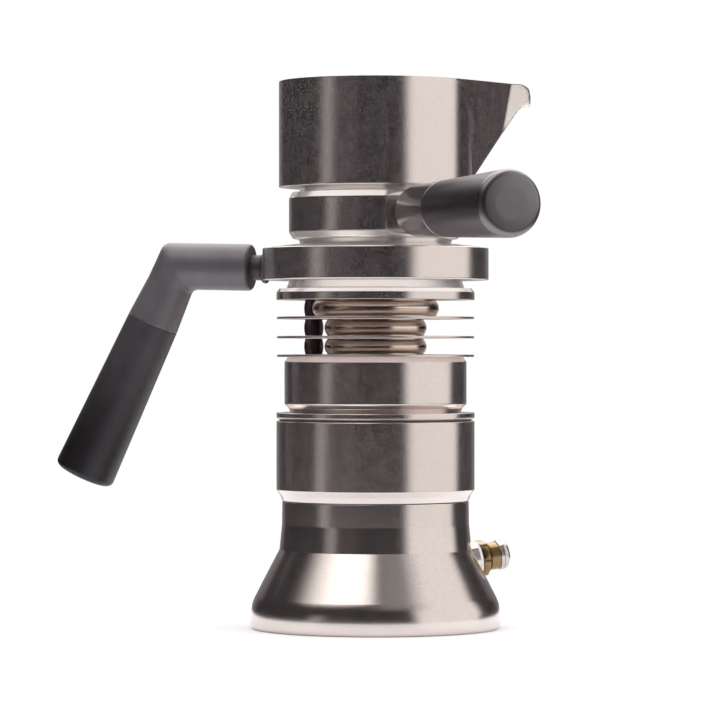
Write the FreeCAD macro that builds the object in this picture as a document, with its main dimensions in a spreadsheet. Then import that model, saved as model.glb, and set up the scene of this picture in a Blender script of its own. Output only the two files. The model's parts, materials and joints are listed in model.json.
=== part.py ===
import FreeCAD, Part
import math
import os
from types import SimpleNamespace

import Sketcher

# Stovetop espresso maker, in millimetres and degrees.
# The origin is the centre of the flat underside, +Z is up, and the machine's axis is Z.
# The upper handle points towards -Y and a little towards +X, the lower handle towards -X, the spout towards +X.

Vector = FreeCAD.Vector
doc = FreeCAD.newDocument("EspressoMaker")
sheet = doc.addObject("Spreadsheet::Sheet", "Dims")

# Every driving dimension, by piece, from the foot up. Heights end in _z and are above the underside.
driving = {
    # boiler base
    "base_foot_r": 50.2,
    "base_foot_z": 8.0,
    "base_foot_round": 2.0,
    "base_foot_blend": 10.0,
    "base_ridge_r": 38.4,
    "base_ridge_z": 31.6,
    "base_wall_r": 37.4,
    "base_wall_z": 41.6,
    "base_shoulder_r": 37.3,
    "base_shoulder_z": 50.8,
    "base_floor_z": 4.5,
    "base_floor_r": 44.0,
    "base_well_r": 46.4,
    "base_well_z": 9.0,
    "base_inner_ridge_r": 35.4,
    "base_inner_ridge_z": 31.0,
    "base_inner_wall_r": 34.4,
    "base_inner_wall_z": 43.5,
    "neck_r": 34.4,
    "neck_bore_r": 31.4,
    "neck_bore_z": 47.0,
    "neck_top_z": 60.0,
    # boiler seal and its groove
    "seal_groove_z": 49.6,
    "seal_groove_in_r": 34.9,
    "seal_groove_out_r": 36.5,
    "seal_play": 0.2,
    "seal_top_z": 50.9,
    # relief valve, along its own axis from the face of its boss
    "relief_azimuth": 18.0,
    "relief_rise": 8.0,
    "relief_z": 26.9,
    "relief_face": 42.4,
    "relief_boss_r": 7.0,
    "relief_boss_depth": 9.0,
    "relief_bore_depth": 18.0,
    "relief_spotface_r": 8.7,
    "relief_spotface_reach": 6.0,
    "relief_gasket_r": 8.4,
    "relief_gasket_bore": 5.1,
    "relief_gasket_thick": 1.3,
    "relief_hex_half": 5.9,
    "relief_hex_end": 3.4,
    "relief_hex_turn": 10.0,
    "relief_spigot_r": 4.9,
    "relief_spigot_depth": 6.0,
    "relief_barrel_r": 5.5,
    "relief_barrel_end": 9.2,
    "relief_inlet_r": 1.6,
    "relief_seat_depth": 3.0,
    "relief_chamber_r": 3.4,
    "relief_cap_r": 5.85,
    "relief_cap_end": 13.6,
    "relief_cap_round": 2.4,
    "relief_cap_plug_r": 3.35,
    "relief_cap_plug_start": 8.0,
    "relief_cap_hole_r": 1.7,
    "relief_plug_gap": 0.3,
    "relief_plug_r": 2.9,
    "relief_plug_thick": 1.5,
    "relief_stem_r": 1.3,
    "relief_stem_end": 14.4,
    "relief_spring_r": 2.35,
    "relief_spring_wire_r": 0.3,
    "relief_spring_start": 0.6,
    "relief_spring_end": 7.95,
    "relief_spring_turns": 6.0,
    # boiler jacket
    "jacket_foot_z": 51.1,
    "jacket_foot_r": 37.3,
    "jacket_cove_r": 37.6,
    "jacket_cove_z": 53.3,
    "jacket_r": 39.6,
    "jacket_low_z": 54.9,
    "jacket_top_z": 82.9,
    "jacket_top_chamfer": 0.5,
    "jacket_thread_r": 34.46,
    "jacket_thread_z": 60.4,
    "jacket_bore_r": 36.6,
    # seam seal and boiler cap
    "seam_seal_r": 38.4,
    "seam_seal_in_r": 36.65,
    "cap_foot_z": 76.0,
    "cap_spigot_r": 36.5,
    "cap_seat_z": 83.5,
    "cap_seat_r": 38.7,
    "cap_flange_r": 39.6,
    "cap_flange_low_z": 84.3,
    "cap_flange_top_z": 86.2,
    "cap_flange_round": 0.4,
    "cap_waist_r": 33.8,
    "cap_waist_z": 87.1,
    "cap_shoulder_r": 35.8,
    "cap_shoulder_z": 87.9,
    "cap_r": 36.4,
    "cap_low_z": 88.9,
    "cap_high_z": 106.8,
    "cap_top_r": 34.9,
    "cap_top_z": 108.35,
    "cap_roof_z": 104.5,
    "cap_bore_r": 32.2,
    # cooling stack
    "fin_r": 39.4,
    "fin_thick": 1.1,
    "fin_edge": 0.3,
    "lower_hub_z": 109.45,
    "middle_hub_z": 116.85,
    "upper_hub_z": 124.55,
    "stack_top_z": 131.2,
    "hub_r": 20.4,
    "upper_hub_r": 25.3,
    "hub_neck_drop": 1.3,
    "hub_neck_z": 0.5,
    "hub_chamfer_z": 2.1,
    "pipe_ring_r": 3.9,
    "pipe_ring_neck_drop": 0.7,
    "pipe_azimuth": 146.6,
    "pipe_distance": 29.8,
    "pipe_r": 2.0,
    "pipe_bore_r": 1.3,
    "pipe_hole_r": 2.05,
    "pipe_low_z": 100.0,
    "pipe_top_z": 134.0,
    "plate_r": 39.6,
    "plate_top_z": 135.8,
    "plate_round": 0.8,
    # riser tube
    "riser_r": 3.95,
    "riser_bore_r": 3.0,
    "riser_hole_r": 4.0,
    "riser_low_z": 9.0,
    "riser_top_z": 138.0,
    # strainer on the riser's foot
    "strainer_low_z": 6.5,
    "strainer_floor": 0.8,
    "strainer_r": 6.6,
    "strainer_shoulder_z": 10.6,
    "strainer_neck_r": 4.9,
    "strainer_neck_z": 12.2,
    "strainer_top_z": 15.0,
    "strainer_inner_r": 5.7,
    "strainer_hole_ring": 3.6,
    "strainer_holes": 6,
    # group head
    "group_foot_r": 35.6,
    "group_cove_r": 34.7,
    "group_cove_z": 137.2,
    "group_waist_r": 34.4,
    "group_low_z": 139.1,
    "group_r": 45.2,
    "group_edge": 0.5,
    "group_rim_z": 151.9,
    "group_dome_r": 32.8,
    "group_top_z": 153.4,
    "group_thread_r": 28.4,
    "group_ledge_z": 146.6,
    "group_well_r": 27.0,
    "group_floor_z": 138.2,
    # filter basket
    "basket_rim_r": 28.2,
    "basket_rim_z": 146.9,
    "basket_rim_thick": 1.0,
    "basket_r": 26.6,
    "basket_wall": 0.8,
    "basket_low_z": 139.0,
    # perforations of the basket and the filter plate
    "hole_r": 0.8,
    "inner_hole_ring": 7.0,
    "inner_holes": 8,
    "middle_hole_ring": 14.0,
    "middle_holes": 14,
    "outer_hole_ring": 21.0,
    "outer_holes": 20,
    # group gasket and filter plate
    "gasket_r": 28.0,
    "gasket_in_r": 25.4,
    "gasket_low_z": 148.2,
    "gasket_top_z": 149.4,
    "filter_plate_r": 26.1,
    "filter_plate_z": 149.8,
    "filter_plate_thick": 0.6,
    # outlet chamber
    "chamber_low_z": 149.7,
    "chamber_spigot_r": 28.34,
    "chamber_recess_r": 26.2,
    "chamber_recess_z": 150.7,
    "chamber_foot_z": 155.4,
    "chamber_r": 34.6,
    "chamber_top_z": 175.6,
    "chamber_foot_round": 1.6,
    "chamber_top_round": 1.8,
    "chamber_collar_r": 29.0,
    "chamber_mouth_r": 23.0,
    "chamber_bore_r": 22.0,
    "chamber_bore_z": 154.0,
    "chamber_roof_z": 169.5,
    "chamber_flat": 33.46,
    # jug
    "jug_r": 38.6,
    "jug_low_z": 176.6,
    "jug_top_z": 218.4,
    "jug_wall": 1.6,
    "jug_floor": 2.0,
    "jug_foot_round": 0.8,
    "column_hole_r": 5.05,
    "spout_azimuth": 20.0,
    "spout_back": 25.0,
    "spout_bend_z": 203.0,
    "spout_foot_nose": 38.45,
    "spout_foot_half": 8.78,
    "spout_keel_r": 0.6,
    "spout_bend_nose": 56.55,
    "spout_bend_half": 19.66,
    "spout_rim_nose": 55.5,
    "spout_rim_nose_r": 6.3,
    "spout_rim_half": 25.66,
    "spout_inner_bend_z": 204.0,
    "spout_inner_foot_nose": 36.9,
    "spout_inner_foot_half": 7.73,
    "spout_inner_bend_nose": 54.3,
    "spout_inner_bend_half": 18.19,
    "spout_inner_r": 0.5,
    "spout_inner_rim_nose_r": 4.7,
    "spout_inner_rim_half": 23.8,
    # pouring lip, in the upright plane of the spout
    "lip_root": 56.5,
    "lip_root_z": 202.6,
    "lip_heel": 59.0,
    "lip_heel_z": 205.2,
    "lip_bend": 60.8,
    "lip_bend_z": 207.7,
    "lip_under": 62.6,
    "lip_under_z": 209.2,
    "lip_tip": 66.1,
    "lip_tip_z": 209.8,
    "lip_nose": 66.5,
    "lip_nose_z": 213.4,
    "lip_cheek": 65.7,
    "lip_cheek_z": 216.6,
    "lip_brow": 64.2,
    "lip_brow_z": 218.0,
    "lip_crown": 62.0,
    "lip_width_r": 5.2,
    "lip_centre": 61.4,
    "lip_keel_r": 1.1,
    "lip_keel_centre": 57.9,
    "lip_keel_z": 202.9,
    "lip_channel_r": 2.8,
    "lip_channel_start": 54.0,
    "lip_channel_start_z": 219.6,
    "lip_channel_length": 16.0,
    "lip_channel_fall": 23.0,
    # outlet column, brew valve and cap
    "column_spigot_r": 4.95,
    "column_bore_r": 2.6,
    "column_foot_r": 10.0,
    "column_foot_thick": 1.6,
    "column_low_r": 7.6,
    "column_low_z": 181.6,
    "column_r": 6.4,
    "column_high_z": 198.0,
    "column_top_z": 203.0,
    "column_seat_r": 2.0,
    "column_seat_z": 196.5,
    "column_seat_thick": 1.5,
    "column_chamber_r": 4.6,
    "column_vent_r": 1.1,
    "column_vent_z": 199.2,
    "brew_plug_r": 3.6,
    "brew_plug_z": 196.8,
    "brew_plug_thick": 1.2,
    "brew_stem_r": 1.1,
    "brew_stem_z": 205.8,
    "brew_spring_r": 2.4,
    "brew_spring_wire_r": 0.3,
    "brew_spring_low_z": 198.05,
    "brew_spring_top_z": 203.35,
    "brew_spring_turns": 4.5,
    "column_cap_r": 7.6,
    "column_cap_in_r": 6.45,
    "column_cap_low_z": 200.8,
    "column_cap_top_z": 206.2,
    "column_cap_roof_z": 203.4,
    "column_cap_hole_r": 1.5,
    "column_cap_edge": 0.8,
    # both handles
    "stud_r": 2.95,
    "stud_hole_r": 3.0,
    "stud_tip": 0.6,
    "ferrule_wide_r": 5.8,
    "ferrule_thin_r": 4.95,
    # lower handle, distances measured outwards from the machine's axis
    "lower_azimuth": 166.0,
    "lower_tilt": 1.25,
    "lower_axis_z": 143.3,
    "lower_stud_start": 37.0,
    "lower_stud_end": 68.0,
    "arm_start": 51.3,
    "arm_r": 9.4,
    "arm_chamfer": 1.2,
    "corner": 82.0,
    "leg_lean": 25.6,
    "elbow_inner_round": 3.5,
    "elbow_outer_round": 4.0,
    "leg_length": 25.2,
    "leg_r": 10.5,
    "joint_edge": 0.3,
    "lower_grip_length": 69.4,
    "lower_grip_r": 12.45,
    "lower_grip_round": 2.4,
    "lower_grip_crown": 0.6,
    "lower_plug_r": 6.0,
    "lower_plug_length": 11.0,
    # upper handle
    "upper_azimuth": -68.5,
    "upper_axis_z": 165.3,
    "upper_stud_start": 26.0,
    "upper_stud_end": 96.0,
    "collar_start": 43.4,
    "collar_root_r": 9.85,
    "collar_chamfer": 1.0,
    "collar_end": 74.0,
    "collar_r": 10.95,
    "upper_grip_end": 135.0,
    "upper_grip_r": 12.8,
    "upper_grip_round": 2.8,
    "upper_plug_r": 7.4,
    "upper_plug_start": 54.0,
    "plug_play": 0.05,
}


# A size keeps its number and the sheet expression that it comes from, through + - * and /.
class Size(float):
    def __new__(cls, number, text):
        size = float.__new__(cls, number)
        size.text = text
        return size

    def join(self, other, sign, number):
        return Size(number, f"({self.text} {sign} {getattr(other, 'text', repr(other))})")

    def __add__(self, other):
        return self.join(other, "+", float(self) + float(other))

    def __sub__(self, other):
        return self.join(other, "-", float(self) - float(other))

    def __mul__(self, other):
        return self.join(other, "*", float(self) * float(other))

    def __truediv__(self, other):
        return self.join(other, "/", float(self) / float(other))

    def __rsub__(self, other):
        return Size(float(other) - float(self), f"({other!r} - {self.text})")

    def __neg__(self):
        return Size(-float(self), f"(-1 * {self.text})")


for row, (alias, number) in enumerate(driving.items(), start=1):
    sheet.set(f"A{row}", alias)
    sheet.set(f"B{row}", str(number))
    sheet.setAlias(f"B{row}", alias)
doc.recompute()
d = SimpleNamespace(**{alias: Size(number, "Dims." + alias) for alias, number in driving.items()})
AXIS = 0.0
NEAR = 0.02
parts = []


def tie(item, prop, size):
    setattr(item, prop, float(size))
    if isinstance(size, Size):
        item.setExpression(prop, size.text)


def part(item, label):
    item.Label = label
    parts.append(item)
    return item


# Sketches. Each point of an outline is pinned to the origin by its two sizes.
def sketch_on(body, role, name, offset=AXIS):
    sketch = body.newObject("Sketcher::SketchObject", name)
    plane = [item for item in body.Origin.OriginFeatures if item.Role == role][0]
    sketch.AttachmentSupport = [(plane, "")]
    sketch.MapMode = "FlatFace"
    if offset:
        sketch.AttachmentOffset = FreeCAD.Placement(Vector(0, 0, offset), FreeCAD.Rotation())
        if isinstance(offset, Size):
            sketch.setExpression("AttachmentOffset.Base.z", offset.text)
    return sketch


def pin(sketch, element, end, across, up):
    wanted = []
    for kind, size, axis in (("DistanceX", across, -2), ("DistanceY", up, -1)):
        if float(size) == AXIS:
            sketch.addConstraint(Sketcher.Constraint("PointOnObject", element, end, axis))
        else:
            number = sketch.addConstraint(Sketcher.Constraint(kind, -1, 1, element, end, float(size)))
            wanted.append((number, size))
    for number, size in wanted:
        if isinstance(size, Size):
            sketch.setExpression(f"Constraints[{number}]", size.text)


def outline(sketch, points):
    count = len(points)
    ends = [Vector(across, up, 0) for across, up in points]
    lines = [Part.LineSegment(ends[i], ends[(i + 1) % count]) for i in range(count)]
    sketch.addGeometry(lines)
    sketch.addConstraint([Sketcher.Constraint("Coincident", i, 2, (i + 1) % count, 1) for i in range(count)])
    for i, (across, up) in enumerate(points):
        pin(sketch, i, 1, across, up)


def ring_sketch(sketch, radius, across=AXIS, up=AXIS):
    number = sketch.addGeometry(Part.Circle(Vector(across, up, 0), Vector(0, 0, 1), float(radius)))
    pin(sketch, number, 3, across, up)
    size = sketch.addConstraint(Sketcher.Constraint("Radius", number, float(radius)))
    if isinstance(radius, Size):
        sketch.setExpression(f"Constraints[{size}]", radius.text)


# Features.
def turned(name, points):
    body = doc.addObject("PartDesign::Body", name)
    sketch = sketch_on(body, "XZ_Plane", name + "_outline")
    outline(sketch, points)
    turn = body.newObject("PartDesign::Revolution", name + "_turn")
    turn.Profile = sketch
    turn.ReferenceAxis = (sketch, ["V_Axis"])
    turn.Angle = 360
    return body


def edges_at(shape, test):
    found = []
    for number, edge in enumerate(shape.Edges, start=1):
        points = [vertex.Point for vertex in edge.Vertexes]
        middle = edge.valueAt((edge.FirstParameter + edge.LastParameter) / 2)
        if all(test(point) for point in points + [middle]):
            found.append(f"Edge{number}")
    return found


def dress(body, kind, size, test):
    doc.recompute()
    base = body.Tip
    feature = body.newObject("PartDesign::" + kind, body.Name + "_" + kind.lower())
    edges = edges_at(base.Shape, test)
    if not edges:
        raise RuntimeError(f"no edge to dress on {body.Name}")
    feature.Base = (base, edges)
    tie(feature, "Radius" if kind == "Fillet" else "Size", size)
    return feature


def rim(radius, height):
    def on_rim(point):
        return abs(math.hypot(point.x, point.y) - radius) < NEAR and abs(point.z - height) < NEAR

    return on_rim


def drill(body, name, radius, across, up):
    sketch = sketch_on(body, "XY_Plane", name)
    ring_sketch(sketch, radius, across, up)
    pocket = body.newObject("PartDesign::Pocket", name + "_cut")
    pocket.Profile = sketch
    pocket.Type = "ThroughAll"
    pocket.SideType = "Two sides"
    pocket.Type2 = "ThroughAll"
    return pocket


def perforate(body, rings):
    for number, (distance, count) in enumerate(rings, start=1):
        name = f"{body.Name}_holes{number}"
        pocket = drill(body, name, d.hole_r, distance, AXIS)
        pattern = body.newObject("PartDesign::PolarPattern", name + "_ring")
        pattern.Originals = [pocket]
        pattern.Axis = (pocket.Profile[0], ["N_Axis"])
        pattern.Angle = 360
        pattern.Occurrences = int(count)
        pattern.setExpression("Occurrences", count.text)
        body.Tip = pattern


# Booleans of whole pieces.
def cut(name, base, tool):
    result = doc.addObject("Part::Cut", name)
    result.Base = base
    result.Tool = tool
    return result


def joined(name, items):
    result = doc.addObject("Part::MultiFuse", name)
    result.Shapes = items
    return result


def rod(name, radius, start, end, placement):
    cylinder = doc.addObject("Part::Cylinder", name)
    tie(cylinder, "Radius", radius)
    tie(cylinder, "Height", end - start)
    lift = FreeCAD.Placement(Vector(0, 0, start), FreeCAD.Rotation())
    cylinder.Placement = placement.multiply(lift)
    return cylinder


# A placement whose local Z runs along an axis that leaves a point at an azimuth and rises by a tilt.
def aimed(azimuth, tilt, origin):
    flat = math.cos(math.radians(tilt))
    way = Vector(
        flat * math.cos(math.radians(azimuth)),
        flat * math.sin(math.radians(azimuth)),
        math.sin(math.radians(tilt)),
    )
    side = Vector(math.sin(math.radians(azimuth)), -math.cos(math.radians(azimuth)), 0)
    up = side.cross(way)
    return FreeCAD.Placement(origin, FreeCAD.Rotation(up, side, way, "ZXY"))


# One wire of a coil spring about local Z: each quarter turn is two tangent arcs.
def arc_from(start, heading, end):
    chord = end - start
    along = Vector(chord).normalize()
    out = heading - along * heading.dot(along)
    out.normalize()
    bulge = chord.Length / 2 * math.tan(heading.getAngle(chord) / 2)
    return Part.Arc(start, (start + end) * 0.5 + out * bulge, end).toShape()


def least_gap(path, turn_points, turns, wire_r):
    points = path.discretize(Number=int(turn_points * turns))
    apart = turn_points // 2
    spans = [a.distanceToPoint(b) for i, a in enumerate(points) for b in points[i + apart:]]
    return min(spans) - 2 * wire_r


def coil(radius, low, high, turns, wire_r):
    quarters = int(turns * 4)
    climb = (high - low - 2 * wire_r) / quarters
    pitch = climb * 4 / (2 * math.pi)
    stations = []
    for i in range(quarters + 1):
        angle = i * math.pi / 2
        place = Vector(radius * math.cos(angle), radius * math.sin(angle), low + wire_r + climb * i)
        heading = Vector(-radius * math.sin(angle), radius * math.cos(angle), pitch).normalize()
        stations.append((place, heading))
    edges = []
    for (start, leaving), (end, arriving) in zip(stations, stations[1:]):
        span = end - start
        turn = leaving + arriving
        spread = 2 * (1 - leaving.dot(arriving))
        reach = (math.sqrt(span.dot(turn) ** 2 + spread * span.dot(span)) - span.dot(turn)) / spread
        middle = (start + leaving * reach + end - arriving * reach) * 0.5
        edges.append(arc_from(start, leaving, middle))
        edges.append(arc_from(middle, (middle - start - leaving * reach), end))
    path = Part.Wire(edges)
    start, heading = stations[0]
    section = Part.Wire([Part.Circle(start, heading, wire_r).toShape()])
    solid = path.makePipeShell([section], True, False)
    wanted = path.Length * math.pi * wire_r**2
    gap = least_gap(path, 96, turns, wire_r)
    print(f"coil: volume {solid.Volume:.2f} of {wanted:.2f}, least gap to itself {gap:.2f}")
    return solid


# Boiler base: a hollow turned vessel, with a boss for the relief valve.
base_shell = turned(
    "base_shell",
    [
        (AXIS, AXIS),
        (d.base_foot_r, AXIS),
        (d.base_foot_r, d.base_foot_z),
        (d.base_ridge_r, d.base_ridge_z),
        (d.base_wall_r, d.base_wall_z),
        (d.base_shoulder_r, d.base_shoulder_z),
        (d.seal_groove_out_r, d.base_shoulder_z),
        (d.seal_groove_out_r, d.seal_groove_z),
        (d.seal_groove_in_r, d.seal_groove_z),
        (d.seal_groove_in_r, d.base_shoulder_z),
        (d.neck_r, d.base_shoulder_z),
        (d.neck_r, d.neck_top_z),
        (d.neck_bore_r, d.neck_top_z),
        (d.neck_bore_r, d.neck_bore_z),
        (d.base_inner_wall_r, d.base_inner_wall_z),
        (d.base_inner_ridge_r, d.base_inner_ridge_z),
        (d.base_well_r, d.base_well_z),
        (d.base_floor_r, d.base_floor_z),
        (AXIS, d.base_floor_z),
    ],
)
dress(base_shell, "Fillet", d.base_foot_blend, rim(d.base_foot_r, d.base_foot_z))
dress(base_shell, "Fillet", d.base_foot_round, rim(d.base_foot_r, 0))

relief_origin = Vector(
    d.relief_face * math.cos(math.radians(d.relief_azimuth)),
    d.relief_face * math.sin(math.radians(d.relief_azimuth)),
    d.relief_z,
)
relief_axis = aimed(d.relief_azimuth, d.relief_rise, relief_origin)
relief_boss = rod("relief_boss", d.relief_boss_r, -d.relief_boss_depth, AXIS, relief_axis)
relief_bore = rod("relief_bore", d.relief_spigot_r + d.plug_play, -d.relief_bore_depth, d.joint_edge, relief_axis)
relief_spotface = rod("relief_spotface", d.relief_spotface_r, AXIS, d.relief_spotface_reach, relief_axis)
relief_cuts = joined("relief_cuts", [relief_bore, relief_spotface])
part(cut("base_bored", joined("base_with_boss", [base_shell, relief_boss]), relief_cuts), "boiler_base")

# Relief valve: gasket, hexagon body, cap, sprung plug.
relief_gasket = turned(
    "relief_gasket",
    [
        (d.relief_gasket_bore, AXIS),
        (d.relief_gasket_r, AXIS),
        (d.relief_gasket_r, d.relief_gasket_thick),
        (d.relief_gasket_bore, d.relief_gasket_thick),
    ],
)
relief_gasket.Placement = relief_axis
part(relief_gasket, "relief_gasket")

relief_body = turned(
    "relief_body",
    [
        (d.relief_inlet_r, -d.relief_spigot_depth),
        (d.relief_spigot_r, -d.relief_spigot_depth),
        (d.relief_spigot_r, d.relief_gasket_thick),
        (d.relief_barrel_r, d.relief_gasket_thick),
        (d.relief_barrel_r, d.relief_barrel_end),
        (d.relief_chamber_r, d.relief_barrel_end),
        (d.relief_chamber_r, -d.relief_seat_depth),
        (d.relief_inlet_r, -d.relief_seat_depth),
    ],
)
hexagon = sketch_on(relief_body, "XY_Plane", "relief_hexagon", d.relief_gasket_thick)
corner_reach = d.relief_hex_half / math.cos(math.pi / 6)
hexagon_corners = []
for step in range(6):
    angle = math.radians(60 * step + d.relief_hex_turn)
    hexagon_corners.append((corner_reach * math.cos(angle), corner_reach * math.sin(angle)))
outline(hexagon, hexagon_corners)
ring_sketch(hexagon, d.relief_chamber_r + d.joint_edge)
hexagon_pad = relief_body.newObject("PartDesign::Pad", "relief_hexagon_pad")
hexagon_pad.Profile = hexagon
tie(hexagon_pad, "Length", d.relief_hex_end - d.relief_gasket_thick)
relief_body.Placement = relief_axis
part(relief_body, "relief_body")

relief_cap = turned(
    "relief_cap",
    [
        (d.relief_cap_hole_r, d.relief_cap_plug_start),
        (d.relief_cap_plug_r, d.relief_cap_plug_start),
        (d.relief_cap_plug_r, d.relief_barrel_end),
        (d.relief_cap_r, d.relief_barrel_end),
        (d.relief_cap_r, d.relief_cap_end),
        (d.relief_cap_hole_r, d.relief_cap_end),
    ],
)
dress(relief_cap, "Fillet", d.relief_cap_round, rim(d.relief_cap_r, d.relief_cap_end))
relief_cap.Placement = relief_axis
part(relief_cap, "relief_cap")

relief_poppet = turned(
    "relief_poppet",
    [
        (AXIS, d.relief_plug_gap - d.relief_seat_depth),
        (d.relief_plug_r, d.relief_plug_gap - d.relief_seat_depth),
        (d.relief_plug_r, d.relief_plug_thick - d.relief_seat_depth),
        (d.relief_stem_r, d.relief_plug_thick - d.relief_seat_depth),
        (d.relief_stem_r, d.relief_stem_end - d.joint_edge),
        (d.relief_stem_r - d.joint_edge, d.relief_stem_end),
        (AXIS, d.relief_stem_end),
    ],
)
relief_poppet.Placement = relief_axis
part(relief_poppet, "relief_poppet")

relief_spring = doc.addObject("Part::Feature", "relief_spring")
relief_spring.Shape = coil(
    d.relief_spring_r,
    d.relief_spring_start,
    d.relief_spring_end,
    d.relief_spring_turns,
    d.relief_spring_wire_r,
)
relief_spring.Placement = relief_axis
part(relief_spring, "relief_spring")

# Boiler seal, jacket, seam seal and cap.
part(
    turned(
        "boiler_seal",
        [
            (d.seal_groove_in_r + d.seal_play, d.seal_groove_z + d.seal_play),
            (d.seal_groove_out_r - d.seal_play, d.seal_groove_z + d.seal_play),
            (d.seal_groove_out_r - d.seal_play, d.seal_top_z),
            (d.seal_groove_in_r + d.seal_play, d.seal_top_z),
        ],
    ),
    "boiler_seal",
)
part(
    turned(
        "boiler_jacket",
        [
            (d.jacket_thread_r, d.jacket_foot_z),
            (d.jacket_foot_r, d.jacket_foot_z),
            (d.jacket_cove_r, d.jacket_cove_z),
            (d.jacket_r, d.jacket_low_z),
            (d.jacket_r, d.jacket_top_z - d.jacket_top_chamfer),
            (d.jacket_r - d.jacket_top_chamfer, d.jacket_top_z),
            (d.jacket_bore_r, d.jacket_top_z),
            (d.jacket_bore_r, d.jacket_thread_z),
            (d.jacket_thread_r, d.jacket_thread_z),
        ],
    ),
    "boiler_jacket",
)
part(
    turned(
        "cap_seal",
        [
            (d.seam_seal_in_r, d.jacket_top_z),
            (d.seam_seal_r, d.jacket_top_z),
            (d.seam_seal_r, d.cap_seat_z),
            (d.seam_seal_in_r, d.cap_seat_z),
        ],
    ),
    "cap_seal",
)

pipe_x = d.pipe_distance * math.cos(math.radians(d.pipe_azimuth))
pipe_y = d.pipe_distance * math.sin(math.radians(d.pipe_azimuth))
boiler_cap = turned(
    "boiler_cap",
    [
        (d.cap_bore_r, d.cap_foot_z),
        (d.cap_spigot_r, d.cap_foot_z),
        (d.cap_spigot_r, d.cap_seat_z),
        (d.cap_seat_r, d.cap_seat_z),
        (d.cap_flange_r, d.cap_flange_low_z),
        (d.cap_flange_r, d.cap_flange_top_z),
        (d.cap_waist_r, d.cap_flange_top_z),
        (d.cap_waist_r, d.cap_waist_z),
        (d.cap_shoulder_r, d.cap_shoulder_z),
        (d.cap_r, d.cap_low_z),
        (d.cap_r, d.cap_high_z),
        (d.cap_top_r, d.cap_top_z),
        (d.riser_hole_r, d.cap_top_z),
        (d.riser_hole_r, d.cap_roof_z),
        (d.cap_bore_r, d.cap_roof_z),
    ],
)
dress(boiler_cap, "Fillet", d.cap_flange_round, rim(d.cap_flange_r, d.cap_flange_top_z))
drill(boiler_cap, "cap_pipe_hole", d.pipe_hole_r, pipe_x, pipe_y)
part(boiler_cap, "boiler_cap")

# Riser tube on the axis with its strainer, and the pipe beside it.
part(
    turned(
        "riser_tube",
        [
            (d.riser_bore_r, d.riser_low_z),
            (d.riser_r, d.riser_low_z),
            (d.riser_r, d.riser_top_z),
            (d.riser_bore_r, d.riser_top_z),
        ],
    ),
    "riser_tube",
)
riser_strainer = turned(
    "riser_strainer",
    [
        (AXIS, d.strainer_low_z),
        (d.strainer_r, d.strainer_low_z),
        (d.strainer_r, d.strainer_shoulder_z),
        (d.strainer_neck_r, d.strainer_neck_z),
        (d.strainer_neck_r, d.strainer_top_z),
        (d.riser_hole_r, d.strainer_top_z),
        (d.riser_hole_r, d.strainer_shoulder_z),
        (d.strainer_inner_r, d.strainer_shoulder_z - d.strainer_floor),
        (d.strainer_inner_r, d.strainer_low_z + d.strainer_floor),
        (AXIS, d.strainer_low_z + d.strainer_floor),
    ],
)
perforate(riser_strainer, [(d.strainer_hole_ring, d.strainer_holes)])
part(riser_strainer, "riser_strainer")

pipe_place = FreeCAD.Placement(Vector(pipe_x, pipe_y, 0), FreeCAD.Rotation())
vent_pipe = turned(
    "vent_pipe",
    [
        (d.pipe_bore_r, d.pipe_low_z),
        (d.pipe_r, d.pipe_low_z),
        (d.pipe_r, d.pipe_top_z),
        (d.pipe_bore_r, d.pipe_top_z),
    ],
)
vent_pipe.Placement = pipe_place
part(vent_pipe, "vent_pipe")


# Cooling stack: thin discs held apart by chamfered rings, one on the riser and a small one on the pipe.
def spacer(name, radius, drop, bore, low, high):
    return turned(
        name,
        [
            (bore, low),
            (radius - drop, low),
            (radius - drop, low + d.hub_neck_z),
            (radius, low + d.hub_chamfer_z),
            (radius, high - d.hub_chamfer_z),
            (radius - drop, high - d.hub_neck_z),
            (radius - drop, high),
            (bore, high),
        ],
    )


def disc(name, radius, edge, low, high):
    body = turned(
        name,
        [
            (d.riser_hole_r, low),
            (radius - edge, low),
            (radius, low + edge),
            (radius, high - edge),
            (radius - edge, high),
            (d.riser_hole_r, high),
        ],
    )
    drill(body, name + "_pipe_hole", d.pipe_hole_r, pipe_x, pipe_y)
    return body


levels = [
    ("lower", d.lower_hub_z, d.middle_hub_z - d.fin_thick, d.hub_r),
    ("middle", d.middle_hub_z, d.upper_hub_z - d.fin_thick, d.hub_r),
    ("upper", d.upper_hub_z, d.stack_top_z, d.upper_hub_r),
]
for level, low, high, radius in levels:
    part(disc(level + "_fin", d.fin_r, d.fin_edge, low - d.fin_thick, low), level + "_fin")
    ring = spacer(level + "_hub_ring", radius, d.hub_neck_drop, d.riser_hole_r, low, high)
    part(ring, level + "_hub_ring")
    small = spacer(level + "_pipe_ring", d.pipe_ring_r, d.pipe_ring_neck_drop, d.pipe_hole_r, low, high)
    small.Placement = pipe_place
    part(small, level + "_pipe_ring")
part(disc("top_plate", d.plate_r, d.plate_round, d.stack_top_z, d.plate_top_z), "top_plate")

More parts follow.
